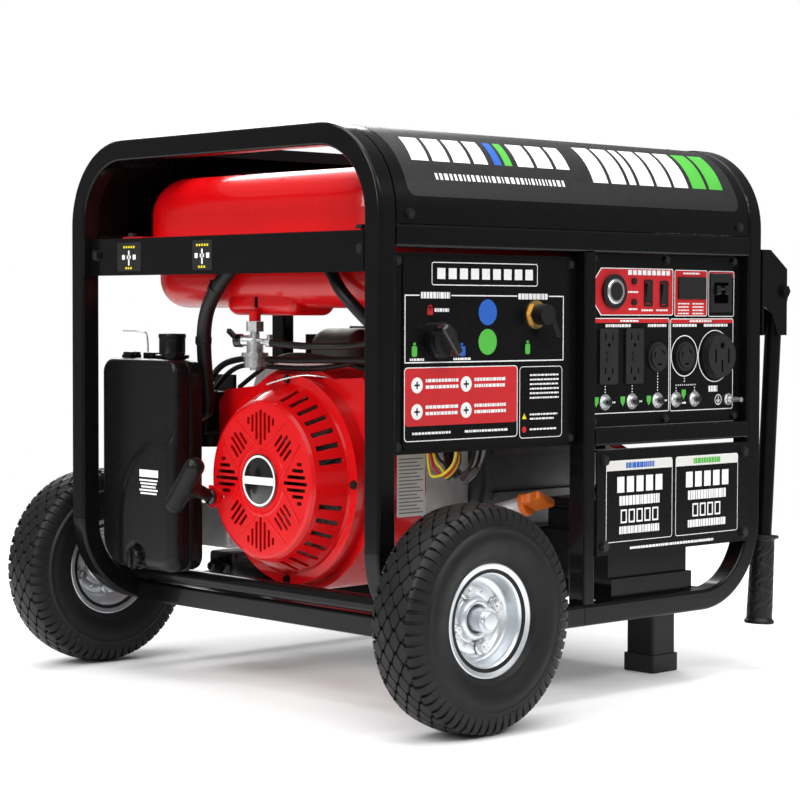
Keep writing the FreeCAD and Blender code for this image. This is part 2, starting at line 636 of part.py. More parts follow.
def control_panel():
    """The control plate with its cut-outs, and the box that covers the wiring behind it."""
    x0, x1 = CONTROL_X
    z0, z1 = CONTROL_Z
    plate = box(x0, x1, PANEL_Y, PANEL_Y + PLATE, z0, z1)
    case = box(352, 618, PANEL_Y + PLATE, 76, 326, 514)
    case = case.cut(box(354, 616, PANEL_Y + PLATE, 74, 328, 512))
    case = case.cut(rod(V(400, 50, 320), AXIS_Z, 12, 10))
    sheet = plate.fuse(case)
    cuts = [panel_rod(*BUTTON, 17.3, 5, 12)]
    cuts += [panel_block(x, z, 13.4, 30.4, 5, 12, 2) for x, z in ROCKERS]
    cuts += [panel_rod(x, z, 4.3, 5, 12) for x, z in LAMPS]
    cuts += [panel_rod(x, RESET_Z, 6.3, 5, 12) for x in RESET_X]
    cuts += [panel_block(x, DUPLEX_Z, 30.4, 64.4, 5, 12, 3) for x in DUPLEX_X]
    cuts += [panel_rod(x, RANGE_OUT[1], 16.3, 5, 12) for x in LOCKING_X]
    cuts += [panel_rod(*RANGE_OUT, 26.3, 5, 12), panel_rod(*GROUND, 3.4, 5, 12)]
    cuts += [panel_block(*BREAKER, 36.4, 42.4, 5, 12, 2)]
    x0, x1, z0, z1 = DISPLAY
    cuts += [panel_block((x0 + x1) / 2, (z0 + z1) / 2, 48.4, 23.4, 5, 12, 1)]
    return sheet.cut(cuts[0].multiFuse(cuts[1:])).removeSplitter()


def start_button():
    """The push button's cap, which sinks into its fixed ring."""
    cap = panel_rod(*BUTTON, 14.4, 6, 14)
    return cap.makeFillet(1.5, [e for e in cap.Edges if e.BoundBox.YMax < PANEL_Y - 5.5])


def meter_and_lamps():
    """Start button ring, digital meter and two indicator lamps."""
    bezel = ring(V(BUTTON[0], PANEL_Y - 4.5, BUTTON[1]), AXIS_Y, 20.5, 14.6, 4.5)
    sleeve = ring(V(BUTTON[0], PANEL_Y, BUTTON[1]), AXIS_Y, 17, 14.6, 22)
    x0, x1, z0, z1 = DISPLAY
    mid_x, mid_z = (x0 + x1) / 2, (z0 + z1) / 2
    meter = panel_block(mid_x, mid_z, x1 - x0, z1 - z0, 2.5, 2.5, 1.5)
    meter = meter.fuse(panel_block(mid_x, mid_z, 48, 23, 0, 20, 1))
    lamps = [panel_rod(x, z, 4, 3, 20) for x, z in LAMPS]
    return group(bezel.fuse(sleeve).removeSplitter(), meter.removeSplitter(), *lamps)


def rocker(index):
    """A rocker switch's moving cap: two shallow slopes that meet at the pivot."""
    x, z = ROCKERS[index]
    half, low, high = 12.0, 1.2, 4.2
    top = PANEL_Y
    points = [V(x - 5, top - low, z - half), V(x - 5, top - 2.6, z), V(x - 5, top - high, z + half),
              V(x - 5, top + 6, z + half - 1), V(x - 5, top + 6, z - half + 1)]
    return Part.Face(Part.makePolygon(points + points[:1])).extrude(V(10, 0, 0))


def rocker_frames():
    """The fixed frames around both rockers."""
    frames = []
    for x, z in ROCKERS:
        frame = panel_block(x, z, 15, 32, 1.5, 1.5, 2).fuse(panel_block(x, z, 13, 30, 0, 18, 1.8))
        frames.append(frame.cut(box(x - 5.4, x + 5.4, 0, PANEL_Y + 10, z - 13.6, z + 13.6)))
    return frames


def main_breaker():
    """The two-pole main breaker's case, with the rocker switches' frames beside it."""
    x, z = BREAKER
    case = panel_block(x, z, 42, 48, 3, 3, 2).fuse(panel_block(x, z, 36, 42, 0, 30, 1.5))
    slot = box(x - 14, x + 14, 0, PANEL_Y + 12, z - 13, z + 13)
    return group(case.cut(slot).removeSplitter(), *rocker_frames())


def main_breaker_toggle():
    """The tied pair of breaker levers, which tip about one shaft."""
    x, z = BREAKER
    shaft = rod(V(x - 13, PANEL_Y + 6, z), AXIS_X, 4, 26)
    levers = [rounded_box(x + s - 4, x + s + 4, PANEL_Y - 7, PANEL_Y + 6, z - 2, z + 9, 1.5)
              for s in (-8, 8)]
    tie = rod(V(x - 10, PANEL_Y - 4, z + 5), AXIS_X, 2, 20)
    return shaft.fuse(levers + [tie]).removeSplitter()


def duplex_outlets():
    """Two duplex receptacles with their blade slots and earth holes."""
    outlets = []
    for x in DUPLEX_X:
        body = panel_block(x, DUPLEX_Z, 32, 66, 2.5, 2.5, 3)
        body = body.fuse(panel_block(x, DUPLEX_Z, 30, 64, 0, 32, 2.8))
        cuts = []
        for z in (DUPLEX_Z - 20, DUPLEX_Z + 20):
            cuts.append(box(x - 7.2, x - 5, 0, PANEL_Y + 16, z - 1, z + 7))
            cuts.append(box(x + 5, x + 7.2, 0, PANEL_Y + 16, z - 1, z + 6))
            cuts.append(rod(V(x, 0, z - 6.5), AXIS_Y, 2.3, PANEL_Y + 16))
        body = body.cut(cuts[0].multiFuse(cuts[1:]))
        keys = [rounded_box(x - 4.5, x + 4.5, PANEL_Y - 3.6, PANEL_Y, z - 2.2, z + 2.2, 0.8, AXIS_Y)
                for z in (DUPLEX_Z - 3.4, DUPLEX_Z + 3.4)]
        outlets.append(body.fuse(keys).removeSplitter())
    return group(*outlets)


def curved_slots(x, z, radius, width, sweep, turns):
    """Arc-shaped blade slots about an outlet's centre."""
    slots = []
    for start in turns:
        start_dir = math.radians(start)
        blank = ring(V(x, 0, z), AXIS_Y, radius + width / 2, radius - width / 2, PANEL_Y + 16)
        wedge_points = [V(x, 0, z)]
        for step in range(4):
            angle = start_dir + math.radians(sweep) * step / 3
            wedge_points.append(V(x + 40 * math.cos(angle), 0, z + 40 * math.sin(angle)))
        wedge = Part.Face(Part.makePolygon(wedge_points + wedge_points[:1]))
        slots.append(blank.common(wedge.extrude(V(0, PANEL_Y + 16, 0))))
    return slots


def round_outlets():
    """Two locking receptacles and the large four-blade receptacle."""
    outlets = []
    z = RANGE_OUT[1]
    for x in LOCKING_X:
        body = panel_rod(x, z, 18, 3, 3).fuse(panel_rod(x, z, 16, 0, 34))
        face = panel_rod(x, z, 14, 5, 5)
        slots = curved_slots(x, z, 9.2, 2.2, 44, (20, 140, 250))
        outlets.append(body.fuse(face).cut(slots[0].multiFuse(slots[1:])).removeSplitter())
    x = RANGE_OUT[0]
    body = panel_rod(x, z, 29, 3, 3).fuse([panel_rod(x, z, 26, 10, 10), panel_rod(x, z, 26, 0, 42)])
    cuts = [box(x - 14, x - 11, 0, 30, z - 9, z + 9), box(x + 11, x + 14, 0, 30, z - 9, z + 9),
            box(x - 1.6, x + 1.6, 0, 30, z - 20, z - 5), rod(V(x, 0, z + 13), AXIS_Y, 4, 30)]
    outlets.append(body.cut(cuts[0].multiFuse(cuts[1:])).removeSplitter())
    return group(*outlets)


def reset_button(index):
    """A push-to-reset breaker's button, sliding in its own threaded collar's bore."""
    x = RESET_X[index]
    button = panel_rod(x, RESET_Z, 4.2, 9, 14)
    return button.makeFillet(1.2, [e for e in button.Edges if e.BoundBox.YMax < PANEL_Y - 8.5])


def reset_collars():
    """The fixed threaded collars and nuts of the five reset breakers."""
    collars = []
    for x in RESET_X:
        nut = hex_head(V(x, PANEL_Y, RESET_Z), -AXIS_Y, 14, 3)
        sleeve = panel_rod(x, RESET_Z, 6, 5.5, 26)
        collars.append(nut.fuse(sleeve).cut(panel_rod(x, RESET_Z, 4.25, 10, 22)).removeSplitter())
    return collars


def ground_terminal():
    """The earthing stud with its nut, and the collars of the reset breakers."""
    x, z = GROUND
    stud = panel_rod(x, z, 3, 22, 40)
    nut = hex_head(V(x, PANEL_Y, z), -AXIS_Y, 11, 5)
    return group(stud.fuse(nut).removeSplitter(), *reset_collars())


# ---------------------------------------------------------------- battery
def battery_cover():
    plate = box(343.5, 627.5, -PLATE, 0, 167, 291)
    folds = [box(346, 620, 0, 14, 167, 169), box(346, 620, 0, 10, 289, 291)]
    return plate.fuse(folds).removeSplitter()


def battery():
    case = rounded_box(401, 531, 42, 132, 111.6, 214, 3)
    lid = rounded_box(399, 533, 40, 134, 214, 226, 2)
    posts = [rod(V(x, 60, 226), AXIS_Z, 7, 12) for x in (420, 512)]
    return case.fuse([lid] + posts).removeSplitter()


def battery_tray():
    """An open-topped tray welded to the bottom rail's inner face."""
    outer = box(394, 538, TUBE, 146, 107, 188)
    outer = outer.cut(box(396, 536, TUBE + 2, 144, 109, 190))
    lip = box(392, 540, 18, TUBE, RAIL_TOP + 0.3, 134)
    pad = box(400, 532, 41, 133, 109, 111.6)
    return outer.fuse([lip, pad]).removeSplitter()


# ---------------------------------------------------------------- engine
def tilted(shape):
    """Turn something built level behind the crankshaft up to the cylinder's angle."""
    shape = shape.copy()
    shape.rotate(V(0, CRANK_Y, CRANK_Z), AXIS_X, CYL_TILT)
    return shape


def crank_bore(x0, x1):
    return rod(V(x0, CRANK_Y, CRANK_Z), AXIS_X, CRANK_R + RUN_FIT, x1 - x0)


def engine_block():
    """Crankcase, finned cylinder with its head, rocker cover, and the oil filler tube."""
    y, z = CRANK_Y, CRANK_Z
    case = rounded_box(214, 330, y - 95, y + 95, 133, z + 96, 16)
    feet = [box(276, 324, y + s - 24, y + s + 24, 132.5, 146) for s in (-70, 70)]
    side_cover = rod(V(322, y, z), AXIS_X, 88, 8)
    barrel = box(222, 318, y + 80, y + 172, z - 46, z + 46)
    fins = [box(216, 324, y + 100 + 10 * k, y + 103 + 10 * k, z - 54, z + 54) for k in range(7)]
    head = rounded_box(218, 322, y + 172, y + 208, z - 56, z + 56, 5)
    cover = rounded_box(226, 314, y + 208, y + 234, z - 44, z + 44, 9)
    top = tilted(barrel.fuse(fins + [head, cover]))
    filler = rod(DIP_SEAT, DIP_TOP - DIP_SEAT, 11, (DIP_TOP - DIP_SEAT).Length)
    starter = rod(V(236, y - 60, z + 118), AXIS_X, 30, 80)
    starter_foot = box(240, 300, y - 86, y - 34, z + 80, z + 118)
    sump_plug = hex_head(V(300, y - 95, 150), -AXIS_Y, 14, 8)
    lobe = rounded_box(216, 318, y + 88, y + 193, 150, 216, 12)
    lobe = lobe.fuse(rounded_box(150, 230, y + 148, y + 192, 155, 214, 10))
    block = case.fuse(feet + [side_cover, top, filler, starter, starter_foot, sump_plug, lobe])
    bore = rod(DIP_SEAT - unit(DIP_TOP - DIP_SEAT) * 60, DIP_TOP - DIP_SEAT, 7.5, 240)
    return block.cut(crank_bore(200, 340)).cut(bore).removeSplitter()


def dipstick():
    """The oil cap's wide finger grip, its plug and the gauge blade below it."""
    along = unit(DIP_TOP - DIP_SEAT)
    seat = DIP_TOP + along * 0.4
    plug = rod(seat - along * 14, along, 7.2, 15)
    collar = rod(seat, along, 14, 7)
    blade = rod(seat - along * 90, along, 2.5, 80)
    grip = rounded_box(-21, 21, -5.5, 5.5, 6, 34, 4)
    for x in (-30, 30):
        grip = grip.cut(rod(V(x, -10, 19), AXIS_Y, 13, 20))
    grip.Placement = FreeCAD.Placement(seat, FreeCAD.Rotation(AXIS_Z, along))
    return plug.fuse([collar, blade, grip]).removeSplitter()


def crank_rotor():
    """Starter cup, fan flywheel, crankshaft and generator rotor on one axis."""
    centre = V(0, CRANK_Y, CRANK_Z)
    profile = [(92, 0), (92, 42), (118, 42), (118, 34), (124, 34), (124, 30), (140, 30),
               (140, 92), (146, 92), (146, 84), (172, 84), (172, CRANK_R), (360, CRANK_R),
               (360, 62), (520, 62), (520, CRANK_R), (588, CRANK_R), (588, 0)]
    shaft = spun(profile, centre, AXIS_X, AXIS_Z)
    blades = []
    for k in range(14):
        blade = box(134, 141, CRANK_Y + 46, CRANK_Y + 90, CRANK_Z - 1.5, CRANK_Z + 1.5)
        blade.rotate(centre, AXIS_X, 360 / 14 * k)
        blades.append(blade)
    return shaft.fuse(blades).removeSplitter()


def blower_outline(inset):
    """The fan housing's outline across the machine: a round belly under a sloping roof."""
    y, z = CRANK_Y, CRANK_Z
    belly = rod(V(131, y, z), AXIS_X, 135 - inset, 81)
    points = [V(131, 153 + inset, 240), V(131, 153 + inset, 352), V(131, 172 + inset, 376 - inset),
              V(131, 300, 368 - inset), V(131, 425 - inset, 356 - inset),
              V(131, 440 - inset, 338 - inset), V(131, 436 - inset, 250), V(131, 405, 215),
              V(131, 165 + inset, 200)]
    upper = Part.Face(Part.makePolygon(points + points[:1])).extrude(V(81, 0, 0))
    return belly.fuse(upper).removeSplitter()


def blower_housing():
    """The fan housing: a drawn steel shell open at its back, with the fan's inlet in front."""
    outer = blower_outline(0)
    hollow = blower_outline(2.5).translated(V(2.5, 0, 0))
    inlet = rod(V(120, CRANK_Y, CRANK_Z), AXIS_X, 100, 30)
    return outer.cut(hollow).cut(inlet).removeSplitter()


def fan_slots():
    """Eight fans of parallel slots in the starter cover's face, and slots round its cone."""
    centre = V(0, CRANK_Y, CRANK_Z)
    cutters = []
    for fan in range(8):
        count = 7 if fan % 2 == 0 else 4
        for i in range(count):
            off = (i - (count - 1) / 2) * 7.6
            inner = 40 + abs(off) * 1.15 if fan % 2 == 0 else 46 + abs(off) * 0.2
            outer = 84 - abs(off) * 0.42 if fan % 2 == 0 else 77 - abs(off) * 0.9
            slot = box(60, 76, CRANK_Y + inner, CRANK_Y + outer,
                       CRANK_Z + off - 2.1, CRANK_Z + off + 2.1)
            slot.rotate(centre, AXIS_X, 45 * fan)
            cutters.append(slot)
    for k in range(36):
        angle = 10 * k + 5
        if min(abs((angle - lug + 180) % 360 - 180) for lug in COVER_LUGS) < 9:
            continue
        slot = box(81, 107, CRANK_Y + 88, CRANK_Y + 130, CRANK_Z - 3.2, CRANK_Z + 3.2)
        slot.rotate(centre, AXIS_X, angle)
        cutters.append(slot)
    return cutters


def recoil_cover():
    """The pressed starter cover: flat slotted face, slotted cone, and a bolting flange."""
    centre = V(0, CRANK_Y, CRANK_Z)
    profile = [(71, 0), (71, 88), (72.5, 92), (76, 95), (110, 112), (112.5, 114), (112.5, 125),
               (130.5, 125), (130.5, 122.5), (115.5, 122.5), (115, 112.5), (111, 109.5),
               (77.5, 92.5), (74.5, 89.5), (73.5, 86), (73.5, 0)]
    shell = spun(profile, centre, AXIS_X, AXIS_Z)
    cutters = fan_slots()
    shell = shell.cut(cutters[0].multiFuse(cutters[1:]))
    boss = ring(V(66, GUIDE.y, GUIDE.z), AXIS_X, 12, 5, 6)
    emblem = rod(V(69.4, CRANK_Y, CRANK_Z), AXIS_X, 32, 1.6)
    guide_arm = box(71, 73.5, 358, 384, 216, 242)
    hole = rod(V(60, GUIDE.y, GUIDE.z), AXIS_X, 5, 20)
    return shell.fuse([emblem, boss, guide_arm]).cut(hole).removeSplitter()


def pull_handle():
    """The starter's T handle: a rounded bar, its tapered stem and the knotted rope's end."""
    seat = GUIDE + PULL_AXIS * 6
    stem = Part.makeCone(6, 9.5, 38, seat, PULL_AXIS)
    heart = seat + PULL_AXIS * 44
    bar_axis = unit(V(0.0, 53, -64))
    bar = rod(heart - bar_axis * 36, bar_axis, 11, 72)
    ends = [Part.makeSphere(11, heart + bar_axis * s) for s in (-36, 36)]
    cord = rod(GUIDE - PULL_AXIS * 1.5, PULL_AXIS, 2.2, 9)
    return stem.fuse([bar] + ends + [cord]).removeSplitter()


def carburettor():
    """Barrel, float bowl, throttle plate and the intake spacer on the cylinder head."""
    barrel = ring(V(101, 482, 325), AXIS_X, 20, 14, 110)
    bowl = rod(V(150, 482, 282), AXIS_Z, 22, 30)
    body = rounded_box(122, 180, 457, 507, 298, 352, 6)
    lever = box(178, 183, 470, 510, 336, 372)
    tube = rod(V(101, 482, 325), AXIS_X, 14, 110)
    solid = barrel.fuse([bowl, body, lever]).cut(tube)
    return solid.removeSplitter()


def box_outline(x0, x1, inset):
    """The air box's outline as a slab: three equal corners, and a large one low at the rear."""
    y0, y1 = BOX_Y[0] + inset, BOX_Y[1] - inset
    z0, z1 = BOX_Z[0] + inset, BOX_Z[1] - inset
    slab = box(x0, x1, y0, y1, z0, z1)
    runs = [e for e in slab.Edges if abs(e.tangentAt(e.FirstParameter).x) > 0.9]
    large = [e for e in runs if e.BoundBox.YMin > y1 - 1 and e.BoundBox.ZMax < z0 + 1]
    small = [e for e in runs if not any(e.isSame(other) for other in large)]
    slab = slab.makeFillet(BOX_CORNERS[0] - inset, small)
    large = [e for e in slab.Edges if abs(e.tangentAt(e.FirstParameter).x) > 0.9
             and e.BoundBox.YMin > y1 - 1 and e.BoundBox.ZMax < z0 + 1]
    return slab.makeFillet(BOX_CORNERS[1] - inset, large)


def rounded_front(slab, front, radius):
    """Round the edges of a slab's front face."""
    return slab.makeFillet(radius, [e for e in slab.Edges if e.BoundBox.XMax < front + 0.5])


def air_cleaner_box():
    """The moulded air box: body with a neck, and its clipped cover with a knob."""
    front, seam, shoulder, back = BOX_X
    wall = 3.0
    body = box_outline(seam, shoulder, 0).cut(box_outline(seam, shoulder - wall, wall))
    rear = rounded_box(shoulder - wall, back, 445, 548, 160, 375, 12, AXIS_X)
    rear = rear.cut(rounded_box(shoulder - wall, back - wall, 448, 545, 163, 372, 10, AXIS_X))
    window = rounded_box(shoulder - wall, shoulder, 448, 545, 163, 372, 10, AXIS_X)
    neck = ring(V(*NECK, BOX_Z[1] - 4), AXIS_Z, 16.2, 13.5, 35)
    body = body.cut(window).fuse([rear, neck])
    body = body.cut(rod(INTAKE, AXIS_X, 13.6, 20))
    body = body.cut(box(NECK[0] - 4, NECK[0] + 2, NECK[1] - 9, NECK[1] + 9, BOX_Z[1] - 8, BOX_Z[1]))
    cover = rounded_front(box_outline(front, seam - 0.1, 0), front, 13)
    cover = cover.cut(rounded_front(box_outline(front + wall, seam, wall), front + wall, 10))
    knob = rod(V(front, 475, 149), -AXIS_X, 13, 7)
    spindle = rod(V(front - 7, 475, 149), -AXIS_X, 8, 6)
    clips = [box(40, seam - 1, y - 9, y + 9, BOX_Z[1], BOX_Z[1] + 7) for y in (425, 515)]
    return group(body.removeSplitter(), cover.fuse([knob, spindle]).removeSplitter(), *clips)


def air_filter():
    """The pleated filter element inside the air box."""
    frame = box(54, 95, 452, 541, 168, 367)
    for k in range(6):
        y = 457 + 14 * k
        frame = frame.cut(box(54, 88, y, y + 6, 174, 361))
    return frame


def muffler():
    """Silencer drum with seams, its inlet pipe from the head, and the open outlet."""
    can = rounded_box(344, 520, 416, 528, 318, 430, 26)
    seam = rounded_box(428, 434, 413, 531, 315, 433, 2)
    outlet = rod(V(500, 472, 374), AXIS_X, 17, 62)
    inlet = rod(V(324.5, 470, 345), AXIS_X, 15, 40)
    shield = rounded_box(352, 512, 531.5, 533.5, 326, 422, 0.9)
    stays = [rod(V(x, 520, 374), AXIS_Y, 5, 12) for x in (372, 492)]
    hollow = rounded_box(346.5, 517.5, 418.5, 525.5, 320.5, 427.5, 23.5)
    solid = can.fuse(seam).cut(hollow).fuse([outlet, inlet, shield] + stays)
    return solid.cut(rod(V(490, 472, 374), AXIS_X, 13, 80)).removeSplitter()


def alternator():
    """Front adaptor, finned stator case and end bracket, each a separate solid."""
    centre = V(0, CRANK_Y, CRANK_Z)
    adaptor = ring(V(330.3, CRANK_Y, CRANK_Z), AXIS_X, 96, CRANK_R + RUN_FIT, 14)
    stator = ring(V(344.5, CRANK_Y, CRANK_Z), AXIS_X, 104, 64, 196)
    ribs = []
    for k in range(12):
        rib = box(356, 530, CRANK_Y - 5, CRANK_Y + 5, CRANK_Z + 100, CRANK_Z + 109)
        rib.rotate(centre, AXIS_X, 30 * k + 15)
        ribs.append(rib)
    foot = box(541, 570, CRANK_Y - 62, CRANK_Y + 62, 132.5, 160)
    web = box(541, 552, CRANK_Y - 40, CRANK_Y + 40, 150, 175)
    cap = ring(V(540.7, CRANK_Y, CRANK_Z), AXIS_X, 100, 60, 36)
    end = rod(V(576.7, CRANK_Y, CRANK_Z), AXIS_X, 100, 9)
    bell = cap.fuse([end, foot, web])
    slots = []
    for k in range(10):
        slot = box(550, 570, CRANK_Y - 9, CRANK_Y + 9, CRANK_Z + 70, CRANK_Z + 120)
        slot.rotate(centre, AXIS_X, 36 * k)
        if k != 5:
            slots.append(slot)
    bell = bell.cut(slots[0].multiFuse(slots[1:])).cut(crank_bore(570, 600))
    stator = stator.fuse(ribs).removeSplitter()
    return group(adaptor, stator, bell.removeSplitter())


def vibration_mounts():
    """Four rubber buffers under the engine and the generator."""
    mounts = []
    for x, offset in ((300, 70), (LEG_X, 50)):
        for sign in (-1, 1):
            place = V(x, CRANK_Y + sign * offset, RAIL_TOP)
            waist = rod(place, AXIS_Z, 12, 132.5 - RAIL_TOP)
            plates = [rod(place + AXIS_Z * h, AXIS_Z, 20, 6) for h in (0, 132.5 - RAIL_TOP - 6)]
            mounts.append(waist.fuse(plates).removeSplitter())
    return group(*mounts)


def hoses():
    """Breather, vapour and fuel hoses, the panel harness and the battery cable."""
    breather = hose([V(58, 318, 505), V(56, 345, 486), V(62, 376, 455), V(74, 396, 425),
                     V(90, 416, 392), V(106, 430, 352), V(112, 438, 325), V(112, 461.8, 325)], 9)
    vapour = hose([V(60, 160, 512), V(56, 128, 478), V(66, 102, 448), V(98, 86, 424),
                   V(98, 56.2, 424)], 7)
    mouth = V(*VALVE, VALVE_Z) + SPIGOT_AXIS * (SPIGOT_L + 0.3)
    supply = hose([mouth, mouth + SPIGOT_AXIS * 36, V(112, 180, 412), V(116, 130, 420),
                   V(112, 90, 414), V(112, 56.4, 414)], 4)
    return_line = hose([V(124, 56.4, 384), V(124, 100, 384), V(130, 150, 398), V(124, 220, 396),
                        V(118, 300, 394), V(112, 370, 398), V(118, 430, 384), V(134, 464, 360)], 4)
    loom = hose([V(200, 45, 301), V(204, 62, 272), V(230, 110, 256), V(236, 146, 276),
                 V(262, 160, 330)], 8)
    cable = hose([V(512, 60, 238.1), V(512, 60, 264), V(440, 120, 312), V(372, 140, 372),
                  V(318, 196, 371)], 5)
    return group(breather, vapour, supply, return_line, loom, cable)


# ---------------------------------------------------------------- fasteners
def frame_bolts():
    """Hexagon heads that show: hoods, tank beam, panels, battery cover, starter cover."""
    out = -AXIS_Y
    bolts = []
    side = 1.5
    for x, z in ((45, 570), (607, 566)):
        head = hex_head(V(x, side, min(z, FRAME_H - 1.5 - HOOD_R)), out, 9, 4)
        bolts += [head, mirrored(head)]
    for x in (60, 592):
        head = hex_head(V(x, 108, FRAME_H - 1.5), AXIS_Z, 9, 1.4)
        bolts += [head, mirrored(head)]
    for y in (TUBE + 14, FRAME_W - TUBE - 14):
        bolts.append(hex_head(V(12, y, 521), -AXIS_X, 11, 5))
    for x, z in ((38.6, 508), (38.6, 307), (312, 508), (312, 307)):
        bolts.append(hex_head(V(x, PANEL_Y, z), out, 8, 3.5))
    for x, z in ((352, 516), (483, 516), (612, 516), (352, 324), (482, 324), (614, 324)):
        bolts.append(hex_head(V(x, PANEL_Y, z), out, 8, 3.5))
    for x, z in ((356, 279), (616, 279), (356, 178), (616, 178)):
        bolts.append(hex_head(V(x, -PLATE, z), out, 10, 4))
    for lug in COVER_LUGS:
        angle = math.radians(lug)
        place = V(112.5, CRANK_Y + 119.6 * math.cos(angle), CRANK_Z + 119.6 * math.sin(angle))
        bolts.append(hex_head(place, -AXIS_X, 8, 4))
    for y in (74, 497):
        bolts.append(hex_head(V(40, y, TANK_SEAM - 1.5), AXIS_Z, 10, 5))
    return group(*bolts)


# ---------------------------------------------------------------- export
def parts():
    """Every node's shape, by name."""
    tyre_shape, rim_shape = tyre(), rim()
    tube_shape, grip_shape, hood_shape = handle_tube(), handle_grip(), hood()
    nodes = {
        "end_frame_engine": end_frame_engine(), "end_frame_panel": end_frame_panel(),
        "top_rails": top_rails(), "mid_tubes": mid_tubes(), "cross_members": cross_members(),
        "tank_beams": tank_beams(), "front_hood": hood_shape, "rear_hood": mirrored(hood_shape),
        "legs": legs(), "leg_feet": leg_feet(), "axle": axle(),
        "tyre_front": tyre_shape, "tyre_rear": mirrored(tyre_shape),
        "rim_front": rim_shape, "rim_rear": mirrored(rim_shape),
        "handle_brackets": handle_brackets(),
        "handle_tube_front": tube_shape, "handle_tube_rear": mirrored(tube_shape),
        "handle_grip_front": grip_shape, "handle_grip_rear": mirrored(grip_shape),
        "fuel_tank": fuel_tank(), "fuel_cap": fuel_cap(), "fuel_valve": fuel_valve(),
        "fuel_valve_lever": fuel_valve_lever(), "fuel_panel": fuel_panel(),
        "fuel_selector_knob": fuel_selector_knob(), "propane_inlet": propane_inlet(),
        "propane_cap": propane_cap(), "control_panel": control_panel(),
        "start_button": start_button(), "battery_rocker": rocker(0), "idle_rocker": rocker(1),
        "meter_and_lamps": meter_and_lamps(), "main_breaker": main_breaker(),
        "main_breaker_toggle": main_breaker_toggle(), "duplex_outlets": duplex_outlets(),
        "round_outlets": round_outlets(), "ground_terminal": ground_terminal(),
        "battery_cover": battery_cover(), "battery": battery(), "battery_tray": battery_tray(),
        "engine_block": engine_block(), "dipstick": dipstick(), "crank_rotor": crank_rotor(),
        "blower_housing": blower_housing(), "recoil_cover": recoil_cover(),
        "pull_handle": pull_handle(), "carburettor": carburettor(),
        "air_cleaner_box": air_cleaner_box(), "air_filter": air_filter(), "muffler": muffler(),
        "alternator": alternator(), "vibration_mounts": vibration_mounts(), "hoses": hoses(),
        "frame_bolts": frame_bolts(),
    }
    for index in range(len(RESET_X)):
        nodes["reset_button_%d" % (index + 1)] = reset_button(index)
    return nodes


def main():
    os.makedirs("parts", exist_ok=True)
    whole = []
    for name, shape in parts().items():
        placed = shape.copy()
        placed.translate(-ORIGIN)
        if not placed.isValid() or not placed.Solids:
            print("CHECK", name, "valid", placed.isValid(), "solids", len(placed.Solids))
        placed.exportStep("parts/%s.step" % name)
        whole.append(placed)
    limits = Part.makeCompound(whole).BoundBox
    print("box", limits, "nodes", len(whole))


main()
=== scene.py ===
import math
import random

import bmesh
import bpy
from mathutils import Matrix, Vector


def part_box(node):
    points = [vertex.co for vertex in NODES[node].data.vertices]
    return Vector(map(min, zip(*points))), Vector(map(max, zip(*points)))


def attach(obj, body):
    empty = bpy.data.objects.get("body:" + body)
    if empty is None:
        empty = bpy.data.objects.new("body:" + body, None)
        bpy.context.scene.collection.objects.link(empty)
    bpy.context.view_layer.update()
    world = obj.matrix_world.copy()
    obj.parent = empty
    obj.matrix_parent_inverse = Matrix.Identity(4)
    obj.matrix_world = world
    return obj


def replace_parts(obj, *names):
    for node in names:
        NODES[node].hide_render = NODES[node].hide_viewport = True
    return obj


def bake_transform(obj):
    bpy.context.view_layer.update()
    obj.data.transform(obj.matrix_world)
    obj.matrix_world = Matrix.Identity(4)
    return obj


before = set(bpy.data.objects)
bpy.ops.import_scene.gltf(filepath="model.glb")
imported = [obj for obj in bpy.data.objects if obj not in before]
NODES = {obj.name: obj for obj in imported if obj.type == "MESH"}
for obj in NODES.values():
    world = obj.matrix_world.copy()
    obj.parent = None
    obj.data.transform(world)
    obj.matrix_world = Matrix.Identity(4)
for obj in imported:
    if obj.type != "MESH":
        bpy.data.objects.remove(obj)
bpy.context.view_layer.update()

MM = 0.001

# ---------------------------------------------------------------- sizes (mm, machine frame)
# X runs from the engine end, Y from the panel side, Z up from the ground, as in the part's
# own drawing.  place() turns such a point into the row frame, in metres.
ORIGIN = Vector((332.15, 285.5, 0.0))
FRAME_W = 571.0
AXLE = Vector((82.7, 0.0, 124.4))
TYRE_Y = 59.0
TYRE_R = 124.4
PANEL_Y = 14.0
FUEL_FACE_Y = 12.4
COVER_Y = -2.0
HOOD_R, HOOD_CY, HOOD_CZ = 100.0, 101.5, 558.5
CRANK = Vector((0.0, 285.0, 253.0))
PRINT = 0.25           # how far a printed graphic stands off its surface

# camera: position, heading from +Y towards +X, pitch, roll (radians), lens and shift
CAMERA_POINT = Vector((-1597.51, -1752.95, 455.49))
CAMERA_YAW, CAMERA_PITCH, CAMERA_ROLL = 0.7472, -0.0383, 0.0027
CAMERA_LENS = 100.47
CAMERA_SHIFT = (0.0036, -0.0063)

# stage: the floor is solid out to the first distance and gone by the second (metres)
FLOOR_SOLID, FLOOR_REACH = 0.9, 2.2


def place(point):
    """A machine-frame point in mm, as a row-frame point in metres."""
    return (Vector(point) - ORIGIN) * MM


